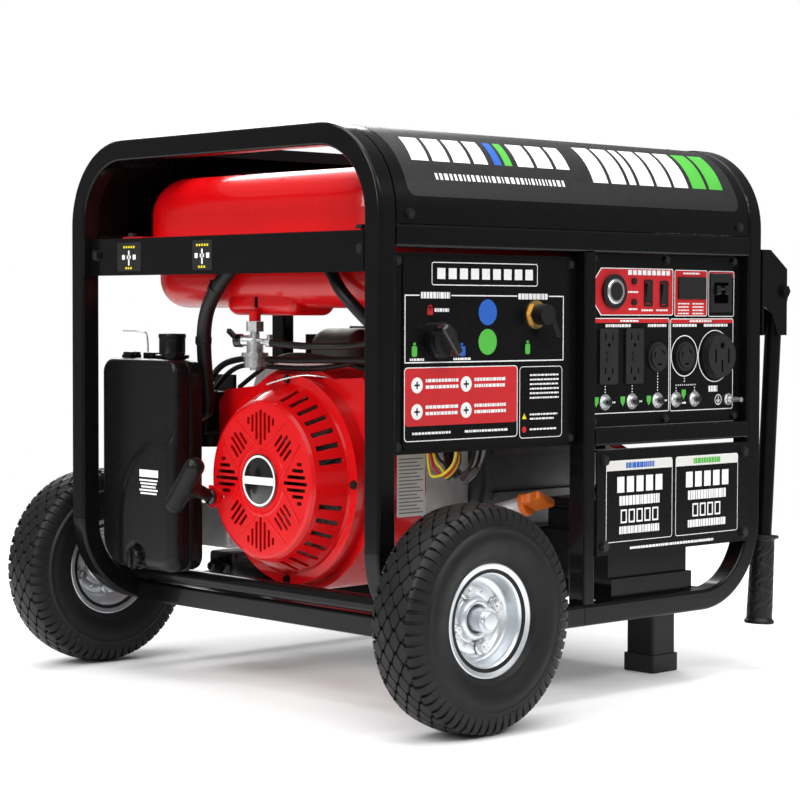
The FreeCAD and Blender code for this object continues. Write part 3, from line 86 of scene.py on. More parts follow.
# ---------------------------------------------------------------- camera, stage and light
def add_camera():
    yaw, pitch, roll = CAMERA_YAW, CAMERA_PITCH, CAMERA_ROLL
    ahead = Vector((math.sin(yaw) * math.cos(pitch), math.cos(yaw) * math.cos(pitch),
                    math.sin(pitch)))
    right = Vector((math.cos(yaw), -math.sin(yaw), 0.0))
    up = right.cross(ahead)
    level_right = right.copy()
    right = level_right * math.cos(roll) + up * math.sin(roll)
    up = up * math.cos(roll) - level_right * math.sin(roll)
    data = bpy.data.cameras.new("camera")
    data.sensor_width = 36.0
    data.sensor_fit = "HORIZONTAL"
    data.lens = CAMERA_LENS
    data.shift_x, data.shift_y = CAMERA_SHIFT
    data.clip_end = 50.0
    camera = bpy.data.objects.new("camera", data)
    bpy.context.scene.collection.objects.link(camera)
    turn = Matrix((right, up, -ahead)).transposed().to_4x4()
    camera.matrix_world = Matrix.Translation(place(CAMERA_POINT)) @ turn
    bpy.context.scene.camera = camera


def add_area(name, point, target, size, power):
    """A soft rectangular light that faces a target point (metres, row frame)."""
    data = bpy.data.lights.new(name, "AREA")
    data.shape = "RECTANGLE"
    data.size, data.size_y = size
    data.energy = power
    light = bpy.data.objects.new(name, data)
    bpy.context.scene.collection.objects.link(light)
    aim = (Vector(target) - Vector(point)).to_track_quat("-Z", "Y")
    light.matrix_world = Matrix.Translation(Vector(point)) @ aim.to_matrix().to_4x4()


def add_light():
    """White surroundings for the eye, dim ones for reflections, and large soft lamps."""
    scene = bpy.context.scene
    scene.view_settings.view_transform = "Standard"
    world = bpy.data.worlds.new("studio")
    scene.world = world
    world.use_nodes = True
    tree = world.node_tree
    back = tree.nodes["Background"]
    back.inputs["Color"].default_value = (1.0, 1.0, 1.0, 1.0)
    path = tree.nodes.new("ShaderNodeLightPath")
    level = tree.nodes.new("ShaderNodeMapRange")
    level.inputs["To Min"].default_value = 0.30
    level.inputs["To Max"].default_value = 1.0
    tree.links.new(path.outputs["Is Camera Ray"], level.inputs["Value"])
    tree.links.new(level.outputs["Result"], back.inputs["Strength"])
    middle = (0.0, 0.0, 0.35)
    add_area("engine_side", (-2.4, -0.2, 1.7), middle, (0.7, 1.8), 42)
    add_area("panel_side", (0.4, -2.6, 2.0), middle, (2.4, 0.6), 34)
    add_area("overhead", (0.0, 0.1, 2.6), middle, (2.2, 1.6), 45)
    add_area("rear", (1.4, 2.4, 1.8), middle, (1.6, 1.2), 40)
    data = bpy.data.lights.new("sky", "SUN")
    data.energy = 2.3
    data.angle = math.radians(75)
    sun = bpy.data.objects.new("sky", data)
    scene.collection.objects.link(sun)
    sun.matrix_world = Vector((-0.25, -0.35, 1.0)).to_track_quat("Z", "Y").to_matrix().to_4x4()


# ---------------------------------------------------------------- materials
NOISE_ROUGHNESS = 0.55


def new_material(name):
    material = bpy.data.materials.new(name)
    material.use_nodes = True
    tree = material.node_tree
    return material, tree, tree.nodes["Principled BSDF"]


def noise_from(tree, coords, scale, detail=3.0):
    node = tree.nodes.new("ShaderNodeTexNoise")
    node.inputs["Scale"].default_value = scale
    node.inputs["Detail"].default_value = detail
    node.inputs["Roughness"].default_value = NOISE_ROUGHNESS
    tree.links.new(coords, node.inputs["Vector"])
    return node.outputs["Fac"]


def ramp_from(tree, factor, stops):
    node = tree.nodes.new("ShaderNodeValToRGB")
    elements = node.color_ramp.elements
    while len(elements) < len(stops):
        elements.new(0.5)
    for element, (position, colour) in zip(elements, stops):
        element.position = position
        element.color = (*colour, 1.0)
    tree.links.new(factor, node.inputs["Fac"])
    return node.outputs["Color"]


def shade(colour, factor):
    return tuple(min(1.0, c * factor) for c in colour)


def finish(name, colour, rough, metal=0.0, coat=0.0, coat_rough=0.08, spread=0.12,
           patch=40.0, rough_spread=0.12, grain=900.0, bump=0.05, bump_distance=0.0002,
           specular=0.5):
    """A surface with patchy colour and roughness, and a fine bumped grain."""
    material, tree, shader = new_material(name)
    coords = tree.nodes.new("ShaderNodeTexCoord").outputs["Object"]
    shader.inputs["Metallic"].default_value = metal
    shader.inputs["Coat Weight"].default_value = coat
    shader.inputs["Coat Roughness"].default_value = coat_rough
    shader.inputs["Specular IOR Level"].default_value = specular
    patches = noise_from(tree, coords, patch)
    tint = ramp_from(tree, patches, [(0.3, shade(colour, 1.0 - spread)),
                                     (0.7, shade(colour, 1.0 + spread))])
    tree.links.new(tint, shader.inputs["Base Color"])
    fine = noise_from(tree, coords, patch * 3.1, 4.0)
    span = tree.nodes.new("ShaderNodeMapRange")
    span.inputs["From Min"].default_value = 0.3
    span.inputs["From Max"].default_value = 0.7
    span.inputs["To Min"].default_value = rough * (1.0 - rough_spread)
    span.inputs["To Max"].default_value = min(1.0, rough * (1.0 + rough_spread))
    tree.links.new(fine, span.inputs["Value"])
    tree.links.new(span.outputs["Result"], shader.inputs["Roughness"])
    if bump > 0.0:
        grains = noise_from(tree, coords, grain, 2.0)
        bumper = tree.nodes.new("ShaderNodeBump")
        bumper.inputs["Strength"].default_value = bump
        bumper.inputs["Distance"].default_value = bump_distance
        tree.links.new(grains, bumper.inputs["Height"])
        tree.links.new(bumper.outputs["Normal"], shader.inputs["Normal"])
    return material


BLACK = (0.0035, 0.0035, 0.004)
MAT = {
    "coat": finish("black_powder_coat", BLACK, 0.22, coat=0.14, coat_rough=0.07,
                   grain=420.0, bump=0.05, specular=0.12),
    "sheet": finish("black_sheet", BLACK, 0.27, coat=0.08, coat_rough=0.10, grain=520.0,
                    bump=0.05, specular=0.12),
    "red": finish("red_paint", (0.60, 0.002, 0.004), 0.30, coat=0.35, coat_rough=0.05,
                  spread=0.04, grain=300.0, bump=0.03, patch=12.0, specular=0.22),
    "zinc": finish("zinc_plate", (0.70, 0.73, 0.76), 0.33, metal=0.85, spread=0.05,
                   patch=25.0, rough_spread=0.12, grain=800.0, bump=0.03),
    "bright": finish("bright_steel", (0.66, 0.67, 0.67), 0.27, metal=0.9, patch=40.0,
                     spread=0.06, rough_spread=0.12, bump=0.0),
    "rubber": finish("tyre_rubber", (0.0062, 0.0062, 0.006), 0.48, spread=0.2, patch=25.0,
                     grain=420.0, bump=0.12, rough_spread=0.18, specular=0.24),
    "soft": finish("black_rubber", (0.006, 0.006, 0.006), 0.42, grain=900.0, bump=0.08,
                   specular=0.3),
    "moulded": finish("moulded_black", (0.0045, 0.0045, 0.005), 0.32, grain=1400.0,
                      bump=0.08, rough_spread=0.2, specular=0.22),
    "gloss": finish("gloss_black_plastic", (0.006, 0.006, 0.006), 0.20, coat=0.3,
                    bump=0.03),
    "socket": finish("socket_black", (0.008, 0.008, 0.008), 0.40, bump=0.08),
    "orange": finish("orange_plastic", (0.83, 0.17, 0.008), 0.42, spread=0.06, bump=0.06),
    "cast": finish("cast_aluminium", (0.66, 0.67, 0.66), 0.42, metal=0.45, spread=0.12,
                   patch=60.0, grain=320.0, bump=0.35, bump_distance=0.0004,
                   rough_spread=0.25),
    "case": finish("generator_case", (0.20, 0.20, 0.20), 0.5, metal=0.9, grain=300.0,
                   bump=0.2),
    "spin": finish("rotating_steel", (0.28, 0.28, 0.28), 0.38, metal=1.0, patch=70.0),
    "silencer": finish("silencer_steel", (0.11, 0.105, 0.10), 0.55, metal=0.8, spread=0.25,
                       patch=20.0, grain=500.0, bump=0.2),
    "brass": finish("brass", (0.62, 0.43, 0.16), 0.30, metal=1.0, patch=120.0),
    "foam": finish("filter_foam", (0.05, 0.05, 0.045), 0.85, grain=250.0, bump=0.5,
                   bump_distance=0.001),
    "white_ink": finish("white_ink", (0.80, 0.80, 0.80), 0.45, spread=0.02, bump=0.03),
    "red_ink": finish("red_ink", (0.50, 0.008, 0.012), 0.42, spread=0.05, bump=0.03),
    "black_ink": finish("black_ink", (0.004, 0.004, 0.004), 0.42, bump=0.03),
    "band": finish("satin_label", (0.009, 0.009, 0.010), 0.46, bump=0.04, specular=0.45),
    "green_ink": finish("green_ink", (0.07, 0.42, 0.045), 0.42, spread=0.06, bump=0.03),
    "blue_ink": finish("blue_ink", (0.012, 0.10, 0.46), 0.42, spread=0.06, bump=0.03),
    "yellow_ink": finish("yellow_ink", (0.75, 0.60, 0.02), 0.42, spread=0.06, bump=0.03),
    "paper": finish("label_paper", (0.66, 0.65, 0.62), 0.55, spread=0.03, bump=0.04),
    "grey_ink": finish("grey_ink", (0.16, 0.16, 0.16), 0.5, spread=0.04, bump=0.03),
}

NODE_FINISH = {
    "coat": ["end_frame_engine", "end_frame_panel", "top_rails", "mid_tubes",
             "cross_members", "tank_beams", "legs", "handle_brackets", "handle_tube_front",
             "handle_tube_rear", "battery_tray"],
    "sheet": ["front_hood", "rear_hood", "fuel_panel", "control_panel", "battery_cover"],
    "red": ["fuel_tank", "blower_housing", "recoil_cover"],
    "zinc": ["rim_front", "rim_rear", "axle"],
    "bright": ["fuel_valve", "ground_terminal"],
    "soft": ["leg_feet", "vibration_mounts", "handle_grip_front", "handle_grip_rear",
             "propane_cap", "hoses"],
    "moulded": ["air_cleaner_box", "carburettor", "pull_handle", "fuel_cap", "battery"],
    "gloss": ["start_button", "battery_rocker", "idle_rocker", "main_breaker",
              "main_breaker_toggle", "fuel_selector_knob", "fuel_valve_lever",
              "meter_and_lamps", "frame_bolts", "reset_button_1", "reset_button_2",
              "reset_button_3", "reset_button_4", "reset_button_5"],
    "socket": ["duplex_outlets", "round_outlets"],
    "orange": ["dipstick"],
    "cast": ["engine_block"],
    "case": ["alternator"],
    "spin": ["crank_rotor"],
    "silencer": ["muffler"],
    "brass": ["propane_inlet"],
    "foam": ["air_filter"],
    "rubber": ["tyre_front", "tyre_rear"],
}


def dress_nodes():
    for key, names in NODE_FINISH.items():
        for name in names:
            materials = NODES[name].data.materials
            materials.clear()
            materials.append(MAT[key])


add_camera()
add_light()
dress_nodes()


# ---------------------------------------------------------------- stage
def floor_material():
    """A pale matt floor that fades out with distance, so that it has no visible edge."""
    material, tree, shader = new_material("pale_floor")
    shader.inputs["Base Color"].default_value = (0.86, 0.86, 0.86, 1.0)
    shader.inputs["Roughness"].default_value = 0.75
    shader.inputs["Specular IOR Level"].default_value = 0.1
    coords = tree.nodes.new("ShaderNodeTexCoord").outputs["Object"]
    length = tree.nodes.new("ShaderNodeVectorMath")
    length.operation = "LENGTH"
    tree.links.new(coords, length.inputs[0])
    fade = tree.nodes.new("ShaderNodeMapRange")
    fade.inputs["From Min"].default_value = FLOOR_SOLID
    fade.inputs["From Max"].default_value = FLOOR_REACH
    fade.inputs["To Min"].default_value = 1.0
    fade.inputs["To Max"].default_value = 0.0
    tree.links.new(length.outputs["Value"], fade.inputs["Value"])
    tree.links.new(fade.outputs["Result"], shader.inputs["Alpha"])
    return material


def add_floor():
    mesh = bpy.data.meshes.new("floor")
    reach = FLOOR_REACH
    mesh.from_pydata([(-reach, -reach, 0), (reach, -reach, 0), (reach, reach, 0),
                      (-reach, reach, 0)], [], [(0, 1, 2, 3)])
    floor = bpy.data.objects.new("floor", mesh)
    bpy.context.scene.collection.objects.link(floor)
    floor.location.z = -0.0005
    mesh.materials.append(floor_material())


add_floor()


# ---------------------------------------------------------------- mesh helpers
def link_mesh(name, mesh, material, body, smooth_angle=None):
    """Put a finished mesh in the scene, riding on a body unless that is None."""
    obj = bpy.data.objects.new(name, mesh)
    bpy.context.scene.collection.objects.link(obj)
    mesh.materials.append(material)
    if smooth_angle is not None:
        shade_by_angle(mesh, smooth_angle)
    if body is not None:
        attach(obj, body)
    return obj


def shade_by_angle(mesh, degrees):
    """Smooth shading, with edges sharper than an angle kept crisp."""
    for polygon in mesh.polygons:
        polygon.use_smooth = True
    mesh.set_sharp_from_angle(angle=math.radians(degrees))


def mesh_from(bm, name):
    bmesh.ops.recalc_face_normals(bm, faces=bm.faces)
    mesh = bpy.data.meshes.new(name)
    bm.to_mesh(mesh)
    bm.free()
    return mesh


def add_piece(name, bm, material, angle=None, body="frame"):
    """Finish a mesh under construction and put it in the scene."""
    return link_mesh(name, mesh_from(bm, name), MAT[material], body, angle)


def node_box(name):
    """A row's low and high corners, as machine-frame points in mm."""
    return [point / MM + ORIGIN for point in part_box(name)]


def axis_frame(centre, axis):
    """Two directions across an axis, for turning a profile about it."""
    axis = Vector(axis).normalized()
    side = Vector((0, 0, 1)) if abs(axis.z) < 0.9 else Vector((1, 0, 0))
    first = (side - axis * side.dot(axis)).normalized()
    return Vector(centre), axis, first, axis.cross(first)


def bridge(bm, one, two, closed=True):
    """Join two matching runs of points by quads, round to the start again when closed."""
    count = len(one)
    for i in range(count if closed else count - 1):
        j = (i + 1) % count
        bm.faces.new((one[i], one[j], two[j], two[i]))


def lathe(bm, profile, centre, axis, steps=96, closed=True):
    """Turn (distance along the axis, radius) pairs about an axis; all in mm."""
    origin, along, first, second = axis_frame(centre, axis)
    rings = []
    for k in range(steps):
        angle = math.radians(360.0 * k / steps)
        out = first * math.cos(angle) + second * math.sin(angle)
        rings.append([bm.verts.new(place(origin + along * t + out * r)) for t, r in profile])
    for k in range(steps):
        bridge(bm, rings[k], rings[(k + 1) % steps], closed)


def rounded_profile(points, radius, steps=3):
    """Replace each inner corner of an open polyline by a short arc-like run."""
    out = [points[0]]
    for before, corner, after in zip(points, points[1:], points[2:]):
        b, c, a = Vector(before), Vector(corner), Vector(after)
        reach = min(radius, (c - b).length * 0.45, (a - c).length * 0.45)
        p = c + (b - c).normalized() * reach
        q = c + (a - c).normalized() * reach
        for k in range(steps + 1):
            t = k / steps
            out.append(tuple(p * (1 - t) ** 2 + c * 2 * t * (1 - t) + q * t * t))
    out.append(points[-1])
    return out


def add_block(bm, centre, half, turn=None, bevel=0.0, segments=2):
    """A block about a centre (mm), optionally turned and bevelled."""
    verts = bmesh.ops.create_cube(bm, size=2.0)["verts"]
    size = Matrix.Diagonal((*[h * MM for h in half], 1.0))
    turn = turn.to_4x4() if turn is not None else Matrix.Identity(4)
    bmesh.ops.transform(bm, matrix=Matrix.Translation(place(centre)) @ turn @ size, verts=verts)
    if bevel > 0.0:
        edges = list(dict.fromkeys(e for v in verts for e in v.link_edges))
        bmesh.ops.bevel(bm, geom=edges, offset=bevel * MM, segments=segments, profile=0.6,
                        affect="EDGES")


def tube_curve(name, points, radius, material):
    """A smooth hose or wire along control points (mm)."""
    data = bpy.data.curves.new(name, "CURVE")
    data.dimensions = "3D"
    data.bevel_depth = radius * MM
    data.bevel_resolution = 5
    data.resolution_u = 12
    data.use_fill_caps = True
    spline = data.splines.new("NURBS")
    spline.points.add(len(points) - 1)
    for target, point in zip(spline.points, points):
        target.co = (*place(point), 1.0)
    spline.order_u = 3
    spline.use_endpoint_u = True
    data.materials.append(material)
    obj = bpy.data.objects.new(name, data)
    bpy.context.scene.collection.objects.link(obj)
    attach(obj, "frame")
    return obj


# ---------------------------------------------------------------- wheels
def tread_radius(offset):
    """The tread's outer radius at a distance across from the tyre's middle."""
    return TYRE_R - 2.9 * (offset / 25.0) ** 2


def tread_block(bm, centre_y, angle, offset, outline, height, chamfer):
    """One raised block: an outline of (along, across) points on the tyre's crown."""
    levels = (0.0, height - chamfer, height)
    loops = []
    for index, rise in enumerate(levels):
        shrink = chamfer * 0.9 if index == 2 else (-0.5 if index == 0 else 0.0)
        loop = []
        for along, across in outline:
            length = math.hypot(along, across)
            scale = (length - shrink) / length
            y = offset + across * scale
            radius = tread_radius(y) - height + rise
            turn = angle + along * scale / TYRE_R
            loop.append(bm.verts.new(place((AXLE.x + radius * math.sin(turn), centre_y + y,
                                            AXLE.z + radius * math.cos(turn)))))
        loops.append(loop)
    for low, high in zip(loops, loops[1:]):
        bridge(bm, low, high)
    bm.faces.new(loops[-1])


def shoulder_lug(bm, centre_y, angle, side, width):
    """A lug that wraps from the crown's edge down the shoulder."""
    path = ((23.2, 121.7), (27.0, 121.0), (30.6, 118.0), (32.6, 113.0), (33.6, 107.5),
            (34.2, 103.0))
    depth = (3.4, 3.4, 3.2, 2.6, 1.8, 0.2)
    half = width / 2 / TYRE_R
    rows = []
    for (y, radius), drop in zip(path, depth):
        row = []
        for turn, sink in ((-half, drop), (-half * 0.84, 0.0), (half * 0.84, 0.0), (half, drop)):
            r = radius - sink * 0.75
            yy = y - sink * 0.55
            row.append(bm.verts.new(place((AXLE.x + r * math.sin(angle + turn),
                                           centre_y + side * yy,
                                           AXLE.z + r * math.cos(angle + turn)))))
        rows.append(row)
    for one, two in zip(rows, rows[1:]):
        bridge(bm, one, two, closed=False)


def add_tyre(name, centre_y, body, node):
    """Carcass with moulded rings, five rows of diamond blocks and two rows of shoulder lugs."""
    bm = bmesh.new()
    side = [(25.2, 51.2), (25.6, 60.0), (27.8, 63.2), (30.5, 64.6), (31.8, 66.2), (32.0, 68.4),
            (33.4, 72.0), (36.2, 79.0), (37.8, 86.0), (37.6, 91.0), (36.6, 95.4),
            (36.9, 96.6), (37.0, 98.2), (36.0, 99.6), (34.4, 100.8), (33.6, 104.0),
            (32.0, 110.0), (29.4, 115.6), (25.0, 118.6), (18.0, 119.6), (9.0, 120.2),
            (0.0, 120.4)]
    left = [(-t, r) for t, r in side]
    right = [(t, r) for t, r in side[::-1]]
    profile = left + right[1:]
    lathe(bm, profile, (AXLE.x, centre_y, AXLE.z), (0, 1, 0), steps=144, closed=True)
    pitch_count = 32
    step = 2 * math.pi / pitch_count
    rows = (-18.6, -9.3, 0.0, 9.3, 18.6)
    long_half, wide_half = 10.6, 6.4
    diamond = [(-long_half, -0.9), (-long_half + 1.6, -2.2), (-2.6, -wide_half),
               (2.6, -wide_half), (long_half - 1.6, -2.2), (long_half, -0.9),
               (long_half, 0.9), (long_half - 1.6, 2.2), (2.6, wide_half),
               (-2.6, wide_half), (-long_half + 1.6, 2.2), (-long_half, 0.9)]
    for row, offset in enumerate(rows):
        shift = 0.5 * step * (row % 2)
        for k in range(pitch_count):
            tread_block(bm, centre_y, k * step + shift, offset, diamond, 3.9, 0.9)
    for direction in (-1, 1):
        for k in range(2 * pitch_count):
            shoulder_lug(bm, centre_y, (k + 0.25) * step / 2, direction, 9.6)
    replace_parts(add_piece(name, bm, "rubber", 32, body), node)


def add_axle():
    """The black axle between the wheels, with its bright ends, washers and split pins."""
    low, high = node_box("axle")
    radius, inner_y, washer_out = 10.0, -30.0, 21.4
    for sign, tip in ((-1, low.y), (1, high.y)):
        start = inner_y if sign < 0 else FRAME_W - inner_y
        length = abs(tip - start)
        bm = bmesh.new()
        lathe(bm, rounded_profile([(0, 0), (0, radius), (length, radius), (length, 0)], 1.6),
              (AXLE.x, start, AXLE.z), (0, sign, 0), steps=48, closed=False)
        washer = [(0, radius), (0, 13.7), (0.5, 14.0), (2.0, 14.0), (2.5, 13.7), (2.5, radius)]
        washer_y = -TYRE_Y - washer_out if sign < 0 else FRAME_W + TYRE_Y + washer_out
        lathe(bm, washer, (AXLE.x, washer_y, AXLE.z), (0, sign, 0), steps=48, closed=False)
        pin_y = tip - sign * 3.6
        lathe(bm, rounded_profile([(-13, 0), (-13, 1.9), (13, 1.9), (13, 0)], 0.8),
              (AXLE.x, pin_y, AXLE.z), (1, 0, 0), steps=20, closed=False)
        name = "axle_end_front" if sign < 0 else "axle_end_rear"
        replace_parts(add_piece(name, bm, "zinc", 40), "axle")
    bm = bmesh.new()
    length = FRAME_W - 2 * inner_y
    lathe(bm, [(0, 0), (0, radius), (length, radius), (length, 0)], (AXLE.x, inner_y, AXLE.z),
          (0, 1, 0), steps=48, closed=False)
    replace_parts(add_piece("axle_middle", bm, "coat", 40), "axle")


def add_rim(name, centre_y, body, node):
    """A pressed split rim: rolled lips, stepped dishes, hub, and four clamping bolts."""
    centre = Vector((AXLE.x, centre_y, AXLE.z))
    bm = bmesh.new()
    sheet = 2.0
    for sign in (-1, 1):
        outer = [(-0.6, 15.0), (-7.0, 15.4), (-8.6, 17.0), (-8.6, 20.0), (-6.5, 22.5),
                 (-1.0, 24.5), (-0.6, 30.0), (-0.6, 37.5), (-3.2, 39.6), (-4.4, 42.0),
                 (-5.2, 45.4), (-8.5, 47.0), (-20.0, 47.9), (-23.2, 49.6), (-24.6, 53.5),
                 (-26.6, 58.5), (-27.4, 60.6), (-26.8, 62.0), (-25.6, 62.1)]
        back = [(t + sheet * 0.9, r + (0.0 if r < 40 else sheet * 0.55))
                for t, r in outer[::-1][2:]]
        run = rounded_profile(outer, 1.6) + rounded_profile(back, 1.0, 2)
        profile = [(-sign * t, r) for t, r in run]
        lathe(bm, profile, centre, (0, 1, 0), steps=112, closed=True)
    hub = [(-21, 8.0), (-21, 11.6), (-20, 12.9), (-8, 13.2), (8, 13.2), (20, 12.9),
           (21, 11.6), (21, 8.0)]
    lathe(bm, hub, centre, (0, 1, 0), steps=48, closed=True)
    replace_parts(add_piece(name, bm, "zinc", 40, body), node)

    bm = bmesh.new()
    for k in range(4):
        angle = math.radians(20 + 90 * k)
        for sign in (-1, 1):
            place_at = centre + Vector((33 * math.cos(angle), sign * 2.4, 33 * math.sin(angle)))
            add_hex(bm, place_at, Vector((0, sign, 0)), 13.0, 6.0, 9.4)
            stud = [(9.0, 0.0), (9.0, 3.0), (8.2, 3.9), (0.0, 3.9)]
            lathe(bm, stud, place_at, (0, sign, 0), steps=20, closed=False)
    for angle in (math.radians(65), math.radians(245)):
        spot = centre + Vector((30 * math.cos(angle), 0, 30 * math.sin(angle)))
        rivet = [(0.4, 2.4), (1.6, 2.2), (2.2, 1.2), (2.4, 0.0)]
        lathe(bm, rivet, spot, (0, -1, 0), steps=16, closed=False)
        lathe(bm, rivet, spot, (0, 1, 0), steps=16, closed=False)
    add_piece(name + "_bolts", bm, "bright", 35, body)


def add_hex(bm, seat, direction, across, height, washer=0.0):
    """A chamfered hexagon head or nut, on a flange when a washer radius is given."""
    origin, along, first, second = axis_frame(seat, direction)
    corner = across / math.sqrt(3)
    base = 0.0
    if washer > 0.0:
        base = 1.3
        lathe(bm, [(0.0, 0.0), (0.0, washer), (0.9, washer), (base, washer * 0.93),
                   (base, 0.0)], origin, along, steps=28, closed=False)
    rings = []
    for level, scale in ((base, 1.0), (base + height * 0.82, 1.0), (base + height, 0.84)):
        ring = []
        for k in range(12):
            angle = math.radians(30 * k)
            reach = corner if k % 2 == 0 else corner * math.cos(math.radians(30))
            if scale < 1.0:
                reach = corner * 0.86
            out = first * math.cos(angle) + second * math.sin(angle)
            ring.append(bm.verts.new(place(origin + along * level + out * reach)))
        rings.append(ring)
    for low, high in zip(rings, rings[1:]):
        bridge(bm, low, high)
    bm.faces.new(rings[-1])


for side_name, y in (("front", -TYRE_Y), ("rear", FRAME_W + TYRE_Y)):
    add_tyre("tyre_%s_tread" % side_name, y, "wheel_" + side_name, "tyre_" + side_name)
    add_rim("rim_%s_pressed" % side_name, y, "wheel_" + side_name, "rim_" + side_name)
add_axle()


# ---------------------------------------------------------------- printed graphics
CORNER_STEPS, RING_STEPS = 5, 40


def rect(u0, v0, u1, v1, radius=0.0):
    """A rectangle's outline, with rounded corners when asked."""
    if radius <= 0.0:
        return [(u0, v0), (u1, v0), (u1, v1), (u0, v1)]
    points = []
    for cu, cv, start in ((u1 - radius, v0 + radius, -90), (u1 - radius, v1 - radius, 0),
                          (u0 + radius, v1 - radius, 90), (u0 + radius, v0 + radius, 180)):
        for k in range(CORNER_STEPS + 1):
            angle = math.radians(start + 90 * k / CORNER_STEPS)
            points.append((cu + radius * math.cos(angle), cv + radius * math.sin(angle)))
    return points


def disc(u, v, radius, steps=28):
    return [(u + radius * math.cos(2 * math.pi * k / steps),
             v + radius * math.sin(2 * math.pi * k / steps)) for k in range(steps)]


def band(outer, inner):
    """A closed frame between two matching outlines, as quads."""
    count = len(outer)
    return [[outer[i], outer[(i + 1) % count], inner[(i + 1) % count], inner[i]]
            for i in range(count)]


def frame_line(u0, v0, u1, v1, width, radius=0.0):
    inner_radius = max(radius - width, 0.0)
    if radius > 0.0 and inner_radius <= 0.0:
        inner_radius = 0.01
    return band(rect(u0, v0, u1, v1, radius),
                rect(u0 + width, v0 + width, u1 - width, v1 - width, inner_radius))


def ring_shape(u, v, outer, inner):
    return band(disc(u, v, outer, RING_STEPS), disc(u, v, inner, RING_STEPS))


def dash_row(u0, u1, v, height, seed, gap):
    """A row of short bars that stands in for a line of small print."""
    rng = random.Random(seed)
    bars = []
    u = u0
    while u < u1 - 1.0:
        width = min(rng.uniform(1.8, 6.0), u1 - u)
        bars.append(rect(u, v, u + width, v + height))
        u += width + gap
    return bars


def slanted(u0, v0, u1, v1, slant):
    """A parallelogram that leans by slant between its bottom and its top."""
    return [(u0, v0), (u1, v0), (u1 + slant, v1), (u0 + slant, v1)]


def print_on(name, shapes, surface, material, lift=1.0, cut=0.0):
    """Lay flat outlines on a surface; cut is the spacing of extra folds along v."""
    bm = bmesh.new()
    for shape in shapes:
        verts = [bm.verts.new((u, v, 0.0)) for u, v in shape]
        bm.faces.new(verts)
    if cut > 0.0:
        low = min(v.co.y for v in bm.verts)
        high = max(v.co.y for v in bm.verts)
        for k in range(1, int((high - low) / cut) + 1):
            geometry = bm.verts[:] + bm.edges[:] + bm.faces[:]
            bmesh.ops.bisect_plane(bm, geom=geometry, plane_co=(0, low + k * cut, 0),
                                   plane_no=(0, 1, 0))
    for vert in bm.verts:
        vert.co = place(surface(vert.co.x, vert.co.y, PRINT * lift))
    mesh = bpy.data.meshes.new(name)
    bm.to_mesh(mesh)
    bm.free()
    link_mesh(name, mesh, MAT[material], "frame", 60 if cut > 0.0 else None)


def on_fuel_panel(u, v, lift):
    return Vector((u, FUEL_FACE_Y - lift, v))


def on_control_panel(u, v, lift):
    return Vector((u, PANEL_Y - lift, v))


def on_cover(u, v, lift):
    return Vector((u, COVER_Y - lift, v))


def on_hood(u, v, lift):
    """v is the height along the hood's side, then on round its roll."""
    if v <= HOOD_CZ:
        return Vector((u, HOOD_CY - HOOD_R - lift, v))
    angle = (v - HOOD_CZ) / HOOD_R
    reach = HOOD_R + lift
    if angle > math.pi / 2:
        extra = (angle - math.pi / 2) * HOOD_R
        return Vector((u, HOOD_CY + extra, HOOD_CZ + reach))
    return Vector((u, HOOD_CY - reach * math.cos(angle), HOOD_CZ + reach * math.sin(angle)))


def hood_graphics():
    print_on("hood_band", [rect(45, 578, 610, 706, 12)], on_hood, "band", cut=4.0)
    slant = 7.0
    low, high = 622, 662
    white = []
    for start, width in ((66, 26), (98, 26), (130, 26), (162, 22), (232, 26), (264, 26),
                         (296, 22)):
        white.append(slanted(start, low, start + width, high, slant))
    white += dash_row(92, 300, 598, 8, 11, 3.0)
    low, high = 606, 668
    for start, width in ((350, 26), (382, 26), (414, 12), (432, 26), (464, 26), (496, 26)):
        white.append(slanted(start, low, start + width, high, slant))
    green = [slanted(start, low, start + 26, high, slant) for start in (530, 562)]
    print_on("hood_stripes", white, on_hood, "white_ink", lift=1.6, cut=4.0)
    print_on("hood_stripes_green", green, on_hood, "green_ink", lift=1.6, cut=4.0)
    for name, start in (("blue", 194), ("green", 211)):
        bar = slanted(start, 622, start + 12, 662, slant)
        print_on("hood_bar_" + name, [bar], on_hood, name + "_ink", lift=1.6, cut=4.0)


hood_graphics()


def captions(*rows):
    """Lines of small print, each given by its ends, its foot and top, and its seed."""
    return [bar for u0, u1, v0, v1, seed in rows
            for bar in dash_row(u0, u1, v0, v1 - v0, seed, 0.9)]


def figure_blocks(u0, u1, v0, v1, count, gap):
    """A row of equal upright blocks that stands in for a large figure."""
    width = (u1 - u0 - gap * (count - 1)) / count
    starts = [u0 + k * (width + gap) for k in range(count)]
    return [rect(start, v0, start + width, v1) for start in starts]


